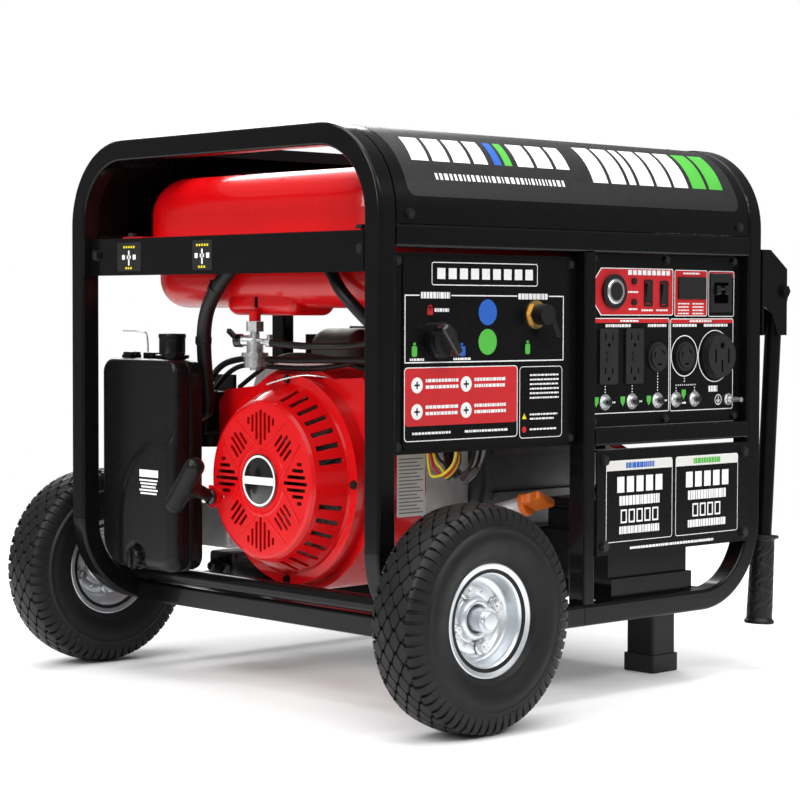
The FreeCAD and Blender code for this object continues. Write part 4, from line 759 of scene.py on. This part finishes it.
def fuel_panel_graphics():
    white = frame_line(88.5, 482.0, 256.0, 507.6, 1.0, 3)
    white += figure_blocks(97, 248, 489, 501, 9, 5.0)
    white += [rect(49.5, 470.3, 70.5, 471.6), rect(118.5, 470.3, 222.5, 471.6),
              rect(274.5, 470.3, 299, 471.6), rect(48.2, 398, 49.5, 471.6),
              rect(298.5, 398, 299.8, 471.6), rect(48.2, 397, 299.8, 398.3)]
    white += captions((72.5, 116.5, 467.6, 474.6, 3), (224.5, 272.5, 467.2, 473.8, 5),
                      (93, 115, 453, 456.8, 7))
    white += frame_line(47.8, 311.6, 223.8, 392.6, 1.0, 5)
    white += frame_line(227, 309, 297.8, 391, 0.8, 5)
    for u in (67, 142):
        for v in (373, 344):
            white.append(disc(u, v, 8.6))
    for u, v, seed in ((80, 376, 1), (80, 369, 2), (155, 376, 3), (155, 369, 4),
                       (80, 347, 5), (80, 340, 6), (155, 347, 7), (155, 340, 8)):
        white += captions((u, u + 50, v, v + 3.6, seed))
    white += captions((60, 118, 319, 321.6, 21), (140, 208, 319, 321.6, 22))
    for k in range(6):
        white += captions((244, 292, 380 - 5.2 * k, 382 - 5.2 * k, 40 + k))
    white += captions((244, 290, 335, 337, 51), (244, 284, 330, 332, 52),
                      (244, 290, 318, 320, 53))
    red = [rect(48.6, 328.4, 223.0, 391.8, 4.2), disc(235, 319, 3.6),
           rect(82.3, 449.6, 90.7, 456.8, 1)]
    red += band(disc(86.5, 457.5, 3.2), disc(86.5, 457.5, 2.1))
    black = []
    for u, v in ((67, 373), (142, 373), (67, 344), (142, 344)):
        black += [rect(u - 4, v - 1, u + 4, v + 1), rect(u - 1, v - 4, u + 1, v + 4)]
    yellow = [[(231.2, 331), (238.8, 331), (235, 337.6)]]
    green = [rect(59, 404, 67, 416, 2.4), rect(61, 416.8, 65, 419.4, 0.8),
             rect(236, 405, 244, 417, 2.4), rect(238, 417.8, 242, 420.4, 0.8)]
    blue = [rect(132, 404, 140.6, 415, 1.6), rect(133, 416, 137, 418.4, 0.6)]
    white += captions((56, 78, 399.6, 402.2, 31), (122, 150, 399.6, 402.2, 32))
    layers = (("white", white, "white_ink", 1.6), ("red", red, "red_ink", 1.2),
              ("black", black, "black_ink", 2.2), ("yellow", yellow, "yellow_ink", 1.6),
              ("green", green + [disc(175.5, 419.5, 14.5)], "green_ink", 1.6),
              ("blue", blue + [disc(175.5, 452.5, 14.5)], "blue_ink", 1.6))
    for name, shapes, ink, lift in layers:
        print_on("fuel_panel_" + name, shapes, on_fuel_panel, ink, lift=lift)


def control_panel_graphics():
    def cut_end(u0, v0, u1, v1):
        """A label with clipped left corners."""
        return [(u0 + 13, v0), (u1 - 2, v0), (u1, v0 + 2), (u1, v1 - 2), (u1 - 2, v1),
                (u0 + 13, v1), (u0, v1 - 15), (u0, v0 + 15)]
    outer, inner = cut_end(352.4, 449, 496.2, 505.4), cut_end(353.4, 450, 495.2, 504.4)
    white = band(outer, inner)
    for u0, v0, u1, v1, width in ((498.8, 448, 561, 504.6, 0.9), (563.3, 447.4, 613.6, 504.2, 0.9),
                                  (352, 332.8, 489.6, 446, 1.0),
                                  (491.4, 332.3, 612.4, 445.3, 1.0)):
        white += frame_line(u0, v0, u1, v1, width, 3)
    white += figure_blocks(413.5, 490, 497.4, 503.2, 9, 2.0)
    white += captions((413.5, 433, 476, 478, 1), (415, 432, 455.4, 457.6, 2),
                      (438, 459, 454.2, 456.4, 3), (465, 486, 454.2, 456.4, 4),
                      (515, 546, 499.4, 501.4, 5), (572, 604, 499.4, 501.2, 6))
    for k in range(4):
        white += captions((505.5, 527, 462.6 - 4 * k, 464.2 - 4 * k, 10 + k),
                          (533, 554, 462.6 - 4 * k, 464.2 - 4 * k, 20 + k))
    for u0, u1, seed in ((374, 420, 30), (450, 484, 31), (496, 541, 32), (555, 601, 33)):
        white += captions((u0, u1, 435.2, 438.6, seed))
    white += captions((400, 434, 441.4, 443.6, 34), (528, 570, 441.0, 443.2, 35))
    white += ring_shape(518.4, 399.6, 25.4, 24.2) + ring_shape(576.6, 398.8, 32.4, 31.2)
    for u, top in ((374, 365), (422, 365), (468.5, 379), (518.4, 372)):
        low = 366 if u == 518.4 else 357
        count = int((top - low) / 3.4) + 1
        white += [rect(u - 0.8, top - 3.4 * k - 0.8, u + 0.8, top - 3.4 * k + 0.8)
                  for k in range(count)]
    white += [rect(u - 0.8, 363.2, u + 0.8, 364.8) for u in range(503, 540, 4)]
    white += [rect(u - 0.8, v - 0.8, u + 0.8, v + 0.8) for u in (503, 538) for v in (360.6, 357.2)]
    white += captions((385, 392, 345, 347, 40), (433, 440, 345, 347, 41),
                      (479, 486, 345, 347, 42), (514, 522, 341, 343.4, 43),
                      (565, 582, 354.6, 362, 44))
    white += ring_shape(584, 344.4, 6.6, 5.6)
    white += [rect(583.5, 344, 584.5, 348.6), rect(580.2, 343.2, 587.8, 344.2),
              rect(581.6, 341.4, 586.4, 342.3), rect(582.9, 339.7, 585.1, 340.6)]
    red = [inner, rect(499.6, 448.8, 560.2, 503.8, 2.4), rect(564.1, 496.8, 612.8, 503.4)]
    red += [rect(352.9, 440.2, 488.7, 445.1), rect(492.3, 439.6, 611.5, 444.5)]
    green = [[(u - 4, v + 6), (u + 4, v + 6), (u + 4, v), (u, v - 6), (u - 4, v)]
             for u, v in ((405.4, 346.6), (452.6, 346.4), (517.6, 352.4), (358.6, 346.8))]
    layers = (("white", white, "white_ink", 1.8), ("red", red, "red_ink", 1.0),
              ("green", green, "green_ink", 1.4))
    for name, shapes, ink, lift in layers:
        print_on("control_panel_" + name, shapes, on_control_panel, ink, lift=lift)


def cover_graphics():
    white, pale = [], []
    for u0, seed in ((359, 1), (484.6, 2)):
        u1 = u0 + 119.5
        white += frame_line(u0, 181.4, u1, 278, 0.8, 4)
        pale.append(rect(u0 + 0.8, 266, u1 - 0.8, 277.2))
        wide = 0 if seed == 1 else 1
        white += figure_blocks(u0 + 19.5, u1 - 18.5, 239.8, 258.6, 5, 4.6)
        white += captions((u0 + 23.5, u1 - 23.5, 224.4, 235.6, seed * 5))
        white += [shape for k in range(5 - wide) for shape in
                  frame_line(u0 + 26 + 14.2 * k + 6 * wide, 203.4, u0 + 37 + 14.2 * k + 6 * wide,
                             219.6, 2.0)]
        white += captions((u0 + 23.5, u1 - 24, 190.6, 199.6, seed * 7))
    white += captions((402, 557, 171.6, 174.6, 60))
    print_on("cover_white", white, on_cover, "white_ink", lift=1.4)
    print_on("cover_bands", pale, on_cover, "paper", lift=1.2)
    print_on("cover_blue", captions((394, 445, 268.4, 275, 71)), on_cover, "blue_ink", lift=2.0)
    print_on("cover_green", captions((518, 570, 268.4, 275, 72)), on_cover, "green_ink", lift=2.0)


fuel_panel_graphics()
control_panel_graphics()
cover_graphics()


# ---------------------------------------------------------------- air box
BOX_FRONT = 28.0
BOX_FILLET, BOX_CORNER, BOX_BIG_CORNER = 13.0, 18.0, 40.0
ARCH_Y, ARCH_Z, ARCH_R = 405.0, 196.0, 104.0
BOX_Y, BOX_Z = (400.0, 552.0), (135.0, 394.0)
KNOB = (475.0, 149.0)


def smooth(value, low, high):
    t = min(1.0, max(0.0, (value - low) / (high - low)))
    return t * t * (3.0 - 2.0 * t)


def outline_distance(y, z):
    """Distance inside the air box's outline, and the nearest place on that outline."""
    mid_y, mid_z = sum(BOX_Y) / 2, sum(BOX_Z) / 2
    half_y, half_z = mid_y - BOX_Y[0], mid_z - BOX_Z[0]
    side_y = 1.0 if y > mid_y else -1.0
    side_z = 1.0 if z > mid_z else -1.0
    radius = BOX_BIG_CORNER if side_y > 0 and side_z < 0 else BOX_CORNER
    dy, dz = abs(y - mid_y) - (half_y - radius), abs(z - mid_z) - (half_z - radius)
    if dy > 0.0 and dz > 0.0:
        reach = math.hypot(dy, dz)
        scale = radius / reach if reach > radius else 1.0
        place_y = mid_y + side_y * (half_y - radius + dy * scale)
        place_z = mid_z + side_z * (half_z - radius + dz * scale)
        return max(0.0, radius - reach), place_y, place_z
    return min(radius - dy, radius - dz), y, z


def box_relief(y, z):
    """How far the air box's front stands back: a raised quarter under an arch, and a recess."""
    arch = 1.0 - math.hypot((y - ARCH_Y) / ARCH_R, (z - ARCH_Z) / ARCH_R)
    if z < ARCH_Z:
        arch = 1.0 - abs(y - ARCH_Y) / ARCH_R
    back = 5.0 * (1.0 - smooth(arch * ARCH_R, -9.0, 9.0))
    inside = abs(y - KNOB[0]) if z < KNOB[1] else math.hypot(y - KNOB[0], z - KNOB[1])
    back += 5.5 * (1.0 - smooth(inside, 14.0, 19.0))
    back -= 1.6 * math.exp(-((inside - 21.0) / 2.2) ** 2)
    return back


def spaced(low, high, fine, count):
    """Grid lines, close together near both ends."""
    marks = [low + f for f in fine] + [high - f for f in fine]
    inner = [low + fine[-1] + (high - low - 2 * fine[-1]) * k / count for k in range(1, count)]
    return sorted(marks + inner)


def add_air_box():
    fillet = BOX_FILLET
    fine = [0.0, 0.25, 0.9, 2.0, 3.6, 5.6, 8.0, 10.5, 13.0]
    lines_y = spaced(BOX_Y[0], BOX_Y[1], fine, 44)
    lines_z = spaced(BOX_Z[0], BOX_Z[1], fine, 80)
    bm = bmesh.new()
    grid = []
    for z in lines_z:
        row = []
        for y in lines_y:
            depth, py, pz = outline_distance(y, z)
            back = 0.0
            if depth < fillet:
                back = fillet - math.sqrt(max(0.0, fillet ** 2 - (fillet - depth) ** 2))
            back = max(back, min(back + box_relief(py, pz) * smooth(depth, 0.0, 12.0), 20.0))
            row.append(bm.verts.new(place((BOX_FRONT + back, py, pz))))
        grid.append(row)
    for low, high in zip(grid, grid[1:]):
        bridge(bm, low, high, closed=False)
    edge = grid[0] + [row[-1] for row in grid[1:]] + grid[-1][-2::-1]
    edge += [row[0] for row in grid[-2:0:-1]]
    centre = place((0.0, sum(BOX_Y) / 2, sum(BOX_Z) / 2))
    loop = edge
    steps = ((50.6, 0.0), (51.6, 0.8), (52.0, 2.4), (54.0, 2.4), (54.4, 0.8), (55.4, 0.0),
             (60.0, 0.0), (61.0, 1.3), (72.0, 1.6), (75.0, 2.6), (76.0, 5.0))
    for x, inset in steps:
        following = []
        for vert in edge:
            offset = Vector((0.0, vert.co.y - centre.y, vert.co.z - centre.z))
            reach = offset.length
            point = offset * ((reach - inset * MM) / reach)
            following.append(bm.verts.new((place((x, 0, 0)).x, centre.y + point.y,
                                           centre.z + point.z)))
        bridge(bm, loop, following)
        loop = following
    bm.faces.new(loop)
    bmesh.ops.remove_doubles(bm, verts=bm.verts, dist=0.00002)
    shell = add_piece("air_box_shell", bm, "moulded", 38)

    bm = bmesh.new()
    add_block(bm, (86, 496.5, 267.5), (13, 51.5, 107.5), bevel=10, segments=4)
    neck_at = (70.5, 456.0, 390.0)
    neck = [(0, 16.8), (8, 16.8), (8, 16.2), (29, 16.2), (29.6, 17.0), (33.6, 17.0), (35, 16.0),
            (35, 13.8), (20, 13.8)]
    lathe(bm, rounded_profile(neck, 0.6, 2), neck_at, (0, 0, 1), steps=48, closed=False)
    lathe(bm, [(4.0, 0.0), (4.0, 20.0), (6.0, 21.0), (8.5, 21.0), (9.5, 19.0), (9.5, 16.0)],
          neck_at, (0, 0, 1), steps=48, closed=False)
    for y in (425.0, 515.0):
        add_block(bm, (52.0, y, 396.5), (9.5, 8.0, 2.2), bevel=1.2)
        add_block(bm, (48.0, y, 399.0), (3.0, 9.0, 3.0), bevel=1.4)
        for shift in (-5, 5):
            add_block(bm, (58.0, y + shift, 398.5), (3.0, 2.0, 3.6), bevel=1.0)
    add_block(bm, (64.0, 487.0, 397.5), (8.0, 10.0, 4.0), bevel=1.6)
    knob = [(-1.0, 0.0), (-1.0, 14.4), (1.5, 14.6), (3.5, 13.0), (9.0, 12.4), (12.0, 11.0),
            (13.0, 8.0), (13.0, 0.0)]
    lathe(bm, rounded_profile(knob, 1.0, 2), (BOX_FRONT + 6, KNOB[0], KNOB[1]), (-1, 0, 0),
          steps=40, closed=False)
    for k in range(12):
        angle = math.radians(30 * k)
        spot = (BOX_FRONT - 1.0, KNOB[0] + 12.4 * math.cos(angle), KNOB[1] + 12.4 * math.sin(angle))
        add_block(bm, spot, (4.6, 1.5, 1.5), bevel=0.8)
    add_block(bm, (BOX_FRONT - 7.5, KNOB[0], KNOB[1]), (2.5, 2.6, 11.0), bevel=1.4)
    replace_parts(shell, "air_cleaner_box")
    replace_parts(add_piece("air_box_fittings", bm, "moulded", 35), "air_cleaner_box")


# ---------------------------------------------------------------- hoses, starter, crankcase
VALVE = Vector((78.0, 304.0, 418.0))
SPIGOT_AXIS = Vector((0.25, -1.0, -0.1)).normalized()
ROPE_GUIDE = Vector((65.2, 371.0, 229.0))
PULL_AXIS = Vector((-0.93, -0.15, 0.33)).normalized()
PULL_GAP = 6.0         # from the rope's guide to the handle
SKIN_VOXEL, SKIN_PASSES = 1.0, 7    # how the handle's parts are melted into one moulding


def clamp(name, point, direction, radius, material="zinc"):
    """A band clamp with its ear."""
    bm = bmesh.new()
    inner, outer = radius - 0.3, radius + 0.9
    band_run = [(-3.2, inner), (-3.2, outer), (3.2, outer), (3.2, inner)]
    lathe(bm, band_run, point, direction, steps=36, closed=True)
    origin, first = axis_frame(point, direction)[::2]
    add_block(bm, origin + first * (radius + 2.6), (2.6, 2.6, 2.6), bevel=0.7)
    add_piece(name, bm, material, 40)


def add_hoses():
    soft = MAT["soft"]
    mouth = VALVE + SPIGOT_AXIS * 18
    pieces = [
        tube_curve("breather_hose", [(58, 318, 508), (57, 332, 496), (56, 345, 484),
                                     (61, 372, 460), (70, 392, 434), (84, 410, 404),
                                     (100, 426, 366), (110, 434, 336), (112, 444, 325),
                                     (112, 463, 325)], 9.0, soft),
        tube_curve("vapour_hose", [(60, 166, 514), (59, 146, 500), (56, 128, 478),
                                   (62, 106, 456), (78, 92, 434), (96, 80, 424),
                                   (98, 56, 424)], 7.2, soft),
        tube_curve("fuel_hose", [mouth, mouth + SPIGOT_AXIS * 24, (94, 222, 412), (112, 180, 412),
                                 (116, 130, 419), (112, 92, 414), (112, 56, 414)], 4.2, soft),
        tube_curve("return_hose", [(124, 56, 384), (124, 100, 385), (130, 150, 397),
                                   (124, 220, 396), (118, 300, 394), (112, 370, 397),
                                   (118, 430, 384), (134, 462, 362)], 4.0, soft),
        tube_curve("panel_harness", [(200, 45, 306), (201, 50, 288), (204, 62, 272),
                                     (216, 88, 260), (230, 110, 257), (238, 144, 276),
                                     (262, 160, 330)], 7.0, MAT["gloss"]),
        tube_curve("battery_cable", [(512, 60, 238), (511, 62, 262), (476, 90, 290),
                                     (440, 120, 312), (404, 132, 346), (368, 144, 370),
                                     (318, 196, 371)], 4.6, MAT["red_ink"]),
    ]
    for piece in pieces:
        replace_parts(piece, "hoses")
    clamp("breather_clamp_upper", (57.2, 352, 479), (0.1, 0.72, -0.68), 9.2, "soft")
    clamp("breather_clamp_middle", (78, 403, 417), (0.35, 0.5, -0.78), 9.2, "soft")
    clamp("breather_clamp_lower", (112, 456, 325), (0, 1, 0), 9.2)
    clamp("fuel_hose_clamp", VALVE + SPIGOT_AXIS * 21, SPIGOT_AXIS, 4.4)
    clamp("vapour_hose_clamp", (97.5, 66, 424), (0, 1, 0), 7.4)
    for index, (shift, ink) in enumerate(((0, "yellow_ink"), (5, "red_ink"), (9, "yellow_ink"),
                                          (13, "black_ink"))):
        start = (176 + shift, 62 + shift, 300)
        run = [start, (174 + shift, 60, 284), (166 + shift, 70 + shift, 268 - shift),
               (172 + 2 * shift, 98, 262 + shift), (196 + shift, 128, 268 + shift),
               (214 + shift, 150, 292)]
        tube_curve("panel_wire_%d" % index, run, 1.6, MAT[ink])
    tube_curve("choke_wire", [(66, 500, 402), (66, 500, 424), (60, 502, 428), (50, 530, 428)],
               1.1, MAT["bright"])
    tube_curve("throttle_wire", [(86, 292, 366), (112, 270, 378), (128, 236, 376),
                                 (150, 220, 372)], 1.2, MAT["bright"])
    tube_curve("control_cable_a", [(150, 470, 356), (128, 410, 388), (120, 330, 386),
                                   (128, 240, 384), (140, 160, 400), (150, 90, 404),
                                   (150, 56, 398)], 3.2, soft)
    tube_curve("control_cable_b", [(188, 470, 356), (170, 380, 396), (150, 300, 402),
                                   (140, 200, 392), (136, 120, 372), (142, 56, 350)], 3.0,
               soft)


def add_rope():
    """The starter rope, a short run from its guide to the handle, and the guide's collar."""
    guide, pull = ROPE_GUIDE, PULL_AXIS
    bm = bmesh.new()
    run = [(-6.0 + 14.0 * k / 14, 2.3) for k in range(15)]
    lathe(bm, run, guide, pull, steps=14, closed=False)
    rope = link_mesh("starter_rope", mesh_from(bm, "starter_rope"), MAT["grey_ink"], None, 60)
    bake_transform(rope)
    bm = bmesh.new()
    collar = [(-3.0, 5.0), (-3.0, 8.6), (-1.6, 9.8), (1.0, 9.8), (2.4, 8.8), (3.2, 6.4),
              (2.0, 4.2), (-2.0, 4.0)]
    lathe(bm, collar, guide - Vector((2.6, 0, 0)), (-1, 0, 0), steps=40, closed=True)
    add_piece("rope_guide", bm, "gloss", 40)


def add_starter_grip():
    """The starter's T handle, its bar and web blended together like one moulding."""
    pull = PULL_AXIS
    seat = ROPE_GUIDE + pull * PULL_GAP
    across = Vector((0.0, 53.0, -64.0)).normalized()
    bm = bmesh.new()
    stem = rounded_profile([(0, 0), (0, 7.0), (4, 7.6), (20, 9.0), (38, 13.0), (44, 13.0),
                            (44, 0)], 1.5)
    lathe(bm, stem, seat, pull, steps=40, closed=False)
    heart = seat + pull * 44
    capsule = [(-41 + 9 * (1 - math.cos(math.pi * k / 12)), 12.2 * math.sin(math.pi * k / 12))
               for k in range(7)]
    capsule += [(-t, r) for t, r in reversed(capsule)]
    lathe(bm, capsule, heart, across, steps=40, closed=False)
    for side in (-1, 1):
        start = heart + across * side * 15 - pull * 3
        web = seat + pull * 22 + across * side * 3
        run = start - web
        lathe(bm, [(0, 0), (0, 6.5), (run.length, 9.5), (run.length, 0)], web,
              run.normalized(), steps=32, closed=False)
    mesh = mesh_from(bm, "starter_grip_rough")
    work = bpy.data.objects.new("work", mesh)
    bpy.context.scene.collection.objects.link(work)
    remesh = work.modifiers.new("skin", "REMESH")
    remesh.mode = "VOXEL"
    remesh.voxel_size = SKIN_VOXEL * MM
    depsgraph = bpy.context.evaluated_depsgraph_get()
    skin = bpy.data.meshes.new_from_object(work.evaluated_get(depsgraph))
    bpy.data.objects.remove(work)
    bm = bmesh.new()
    bm.from_mesh(skin)
    for _ in range(SKIN_PASSES):
        bmesh.ops.smooth_vert(bm, verts=bm.verts, factor=0.5, use_axis_x=True,
                              use_axis_y=True, use_axis_z=True)
    bm.to_mesh(skin)
    bm.free()
    skin.name = "starter_grip"
    skin.materials.clear()
    grip = link_mesh("starter_grip", skin, MAT["moulded"], "pull_grip", 180)
    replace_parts(grip, "pull_handle")


def add_crankcase():
    """The crankcase's pale shoulder beside the starter cover, and the dark foot below it."""
    bm = bmesh.new()
    add_block(bm, (178, 477, 181), (32, 35, 27), bevel=9, segments=4)
    add_block(bm, (178, 477, 208), (33.5, 36.5, 2.0), bevel=1.2)
    add_piece("crankcase_lobe", bm, "cast", 40)
    bm = bmesh.new()
    add_block(bm, (185, 472, 122), (26, 25, 26), bevel=6, segments=3)
    add_block(bm, (185, 472, 94), (34, 33, 3), bevel=1.5)
    for side in (-1, 1):
        lathe(bm, rounded_profile([(0, 0), (0, 8), (5, 8), (9, 4.5), (9, 0)], 0.8),
              (160.0, 472 + 14 * side, 128), (-1, 0, 0), steps=6, closed=False)
    add_piece("crankcase_foot", bm, "gloss", 35)


# ---------------------------------------------------------------- folding handles' grips
PIN_INSET = 12.7


def add_grip(name, node, body, pin_y):
    """A moulded sleeve with crossing waves in relief, a flange at each end and a closed tip."""
    pin = Vector((695.0, pin_y, 480.0))
    lean = math.radians(3.6)
    along = Vector((-math.sin(lean), 0.0, -math.cos(lean)))
    top, length = 311.0, 113.0
    first = along.cross(Vector((0, 1, 0))).normalized()
    second = along.cross(first)
    flange = [(0.0, 11.0), (0.0, 18.6), (0.6, 19.6), (2.0, 20.0), (3.4, 19.6), (4.2, 18.4),
              (5.0, 15.6), (7.0, 14.7)]
    foot = [(length - 8.0, 16.4), (length - 6.0, 16.9), (length - 4.4, 18.4),
            (length - 3.4, 19.0), (length - 1.0, 19.0), (length, 18.0), (length, 6.0),
            (length, 0.3)]
    body_run = [(7.0 + (length - 15.0) * k / 84, 14.6 + 1.8 * k / 84) for k in range(1, 84)]
    run = [(t, r, False) for t, r in flange] + [(t, r, True) for t, r in body_run]
    run += [(t, r, False) for t, r in foot]
    bm = bmesh.new()
    steps = 96
    rings = []
    for t, r, waved in run:
        ring = []
        for k in range(steps):
            angle = 2 * math.pi * k / steps
            radius = r
            if waved:
                fade = smooth(t, 8.0, 16.0) * (1.0 - smooth(t, length - 18.0, length - 10.0))
                wave = math.sin(3 * angle + 1.9 * math.sin(2 * math.pi * (t - 7.0) / 32.0))
                radius += fade * (0.75 * smooth(abs(wave), 0.12, 0.42) - 0.5)
            out = first * math.cos(angle) + second * math.sin(angle)
            ring.append(bm.verts.new(place(pin + along * (top + t) + out * radius)))
        rings.append(ring)
    for one, two in zip(rings, rings[1:]):
        bridge(bm, one, two)
    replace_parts(add_piece(name, bm, "soft", 40, body), node)


# ---------------------------------------------------------------- small fittings
def flat_on_x(name, outlines, x, material, lift=0.3):
    """Lay flat outlines, given as (y, z) points, on a wall that faces the engine end."""
    bm = bmesh.new()
    for outline in outlines:
        bm.faces.new([bm.verts.new(place((x - lift, y, z))) for y, z in outline])
    add_piece(name, bm, material)


def flat_on_y(name, outlines, y, material, lift=0.3):
    """Lay flat outlines, given as (x, z) points, on a wall that faces the panel side."""
    bm = bmesh.new()
    for outline in outlines:
        bm.faces.new([bm.verts.new(place((x, y - lift, z))) for x, z in outline])
    add_piece(name, bm, material)


def cover_emblem():
    """A plain round badge on the starter cover: black disc, white ring, white bar."""
    seat = (69.4, CRANK.y, CRANK.z)
    bm = bmesh.new()
    lathe(bm, [(0.0, 31.8), (0.5, 31.8), (0.9, 31.2), (0.9, 0.0)], seat, (-1, 0, 0), steps=72,
          closed=False)
    add_piece("badge_disc", bm, "gloss", 40)
    bm = bmesh.new()
    lathe(bm, [(0.8, 27.6), (1.25, 27.6), (1.25, 30.2), (0.8, 30.2)], seat, (-1, 0, 0), steps=72)
    add_piece("badge_ring", bm, "white_ink", 40)
    bar = rect(CRANK.y - 27, CRANK.z - 4.6, CRANK.y + 27, CRANK.z + 4.6)
    flat_on_x("badge_bar", [bar], seat[0] - 0.9, "white_ink")


def cover_details():
    """Pressed folds on the starter cover's face: a ring, and lines between the slot fans."""
    bm = bmesh.new()
    lathe(bm, [(70.95, 37), (70.3, 38.2), (70.1, 40), (70.3, 41.8), (70.95, 43)],
          (0, CRANK.y, CRANK.z), (1, 0, 0), steps=96, closed=False)
    for k in range(4):
        middle = math.radians(90 * k)
        for sign in (-1, 1):
            far = middle + sign * math.radians(33)
            start, end = [Vector((70.9, CRANK.y + reach * math.cos(angle),
                                  CRANK.z + reach * math.sin(angle)))
                          for reach, angle in ((36, middle), (84, far))]
            run = end - start
            turn = run.to_track_quat("Z", "X").to_matrix()
            add_block(bm, (start + end) / 2, (0.9, 0.9, run.length / 2), turn=turn, bevel=0.55)
    add_piece("cover_folds", bm, "red", 40)


def panel_fittings():
    """The start button's bright bezel, and the reset buttons' collars and lock nuts."""
    bm = bmesh.new()
    low, high = node_box("start_button")
    reach, front = (high.x - low.x) / 2, PANEL_Y - low.y
    bezel = [(0.1, reach - 0.5), (0.1, reach + 1.0), (front - 1.5, reach + 0.9),
             (front - 0.2, reach + 0.2), (front + 0.5, reach - 1.2), (front + 0.3, reach - 3.4),
             (front - 0.6, reach - 3.6)]
    lathe(bm, bezel, ((low.x + high.x) / 2, PANEL_Y, (low.z + high.z) / 2), (0, -1, 0), steps=72)
    add_piece("start_button_bezel", bm, "bright", 50)
    bm = bmesh.new()
    for index in range(5):
        low, high = node_box("reset_button_%d" % (index + 1))
        middle = (low + high) / 2
        collar = [(-0.2, 4.6), (-0.2, 6.4), (1.2, 6.5), (1.9, 5.9), (1.9, 4.6)]
        lathe(bm, collar, (middle.x, PANEL_Y, middle.z), (0, -1, 0), steps=6)
        nut = [(1.9, 4.3), (1.9, 5.3), (3.4, 5.1), (3.6, 4.4)]
        lathe(bm, nut, (middle.x, PANEL_Y, middle.z), (0, -1, 0), steps=32)
    add_piece("reset_collars", bm, "zinc", 40)


def beam_plates():
    """Two small plates with plain marks on the tank's near beam."""
    face = 12.0
    for name, y0, y1 in (("beam_plate_choke", 441, 489), ("beam_plate_fuel", 302, 339)):
        tall = rect(y0, 501, y1, 536, 2.0)
        flat_on_x(name + "_ground", [tall], face, "band", lift=0.25)
        middle = (y0 + y1) / 2
        marks = [rect(middle - 4, 516, middle + 4, 520),
                 rect(middle - 1.4, 508, middle + 1.4, 526),
                 rect(middle + 8, 515, middle + 14, 521, 1.5),
                 rect(middle - 14, 515, middle - 8, 521)]
        flat_on_x(name + "_marks", marks, face, "white_ink", lift=0.45)
        lines = [rect(middle - 12 + 5 * k, 529, middle - 8.6 + 5 * k, 531.6) for k in range(5)]
        lines += [rect(middle - 6 + 5 * k, 503.4, middle - 2.6 + 5 * k, 506) for k in range(3)]
        flat_on_x(name + "_lines", lines, face, "yellow_ink", lift=0.45)


def blower_sticker():
    """A pale sticker with blank rules on the fan housing's near wall."""
    wall = node_box("blower_housing")[0].y
    flat_on_y("sticker_ground", [rect(165, 213, 210, 288, 2.0)], wall, "paper", lift=0.4)
    rules = [rect(168, 217 + 4.2 * k, 207 - 5 * (k % 3), 218.4 + 4.2 * k) for k in range(16)]
    flat_on_y("sticker_rules", rules, wall, "grey_ink", lift=0.6)


def box_label():
    """A small plate of blank rules on the air box's cover."""
    head = rect(428, 250, 466, 259)
    flat_on_x("air_box_label_head", [head], BOX_FRONT, "white_ink", lift=0.35)
    rules = []
    for k in range(5):
        inset = 2.0 * (k % 3)
        rules.append(rect(429 + inset, 245 - 4.0 * k, 466 - inset, 247.2 - 4.0 * k))
    flat_on_x("air_box_label_rules", rules, BOX_FRONT, "white_ink", lift=0.35)


cover_emblem()
cover_details()
panel_fittings()
beam_plates()
blower_sticker()
box_label()
add_air_box()
add_hoses()
add_rope()
add_starter_grip()
add_crankcase()
add_grip("grip_front", "handle_grip_front", "handle_front", PIN_INSET)
add_grip("grip_rear", "handle_grip_rear", "handle_rear", FRAME_W - PIN_INSET)
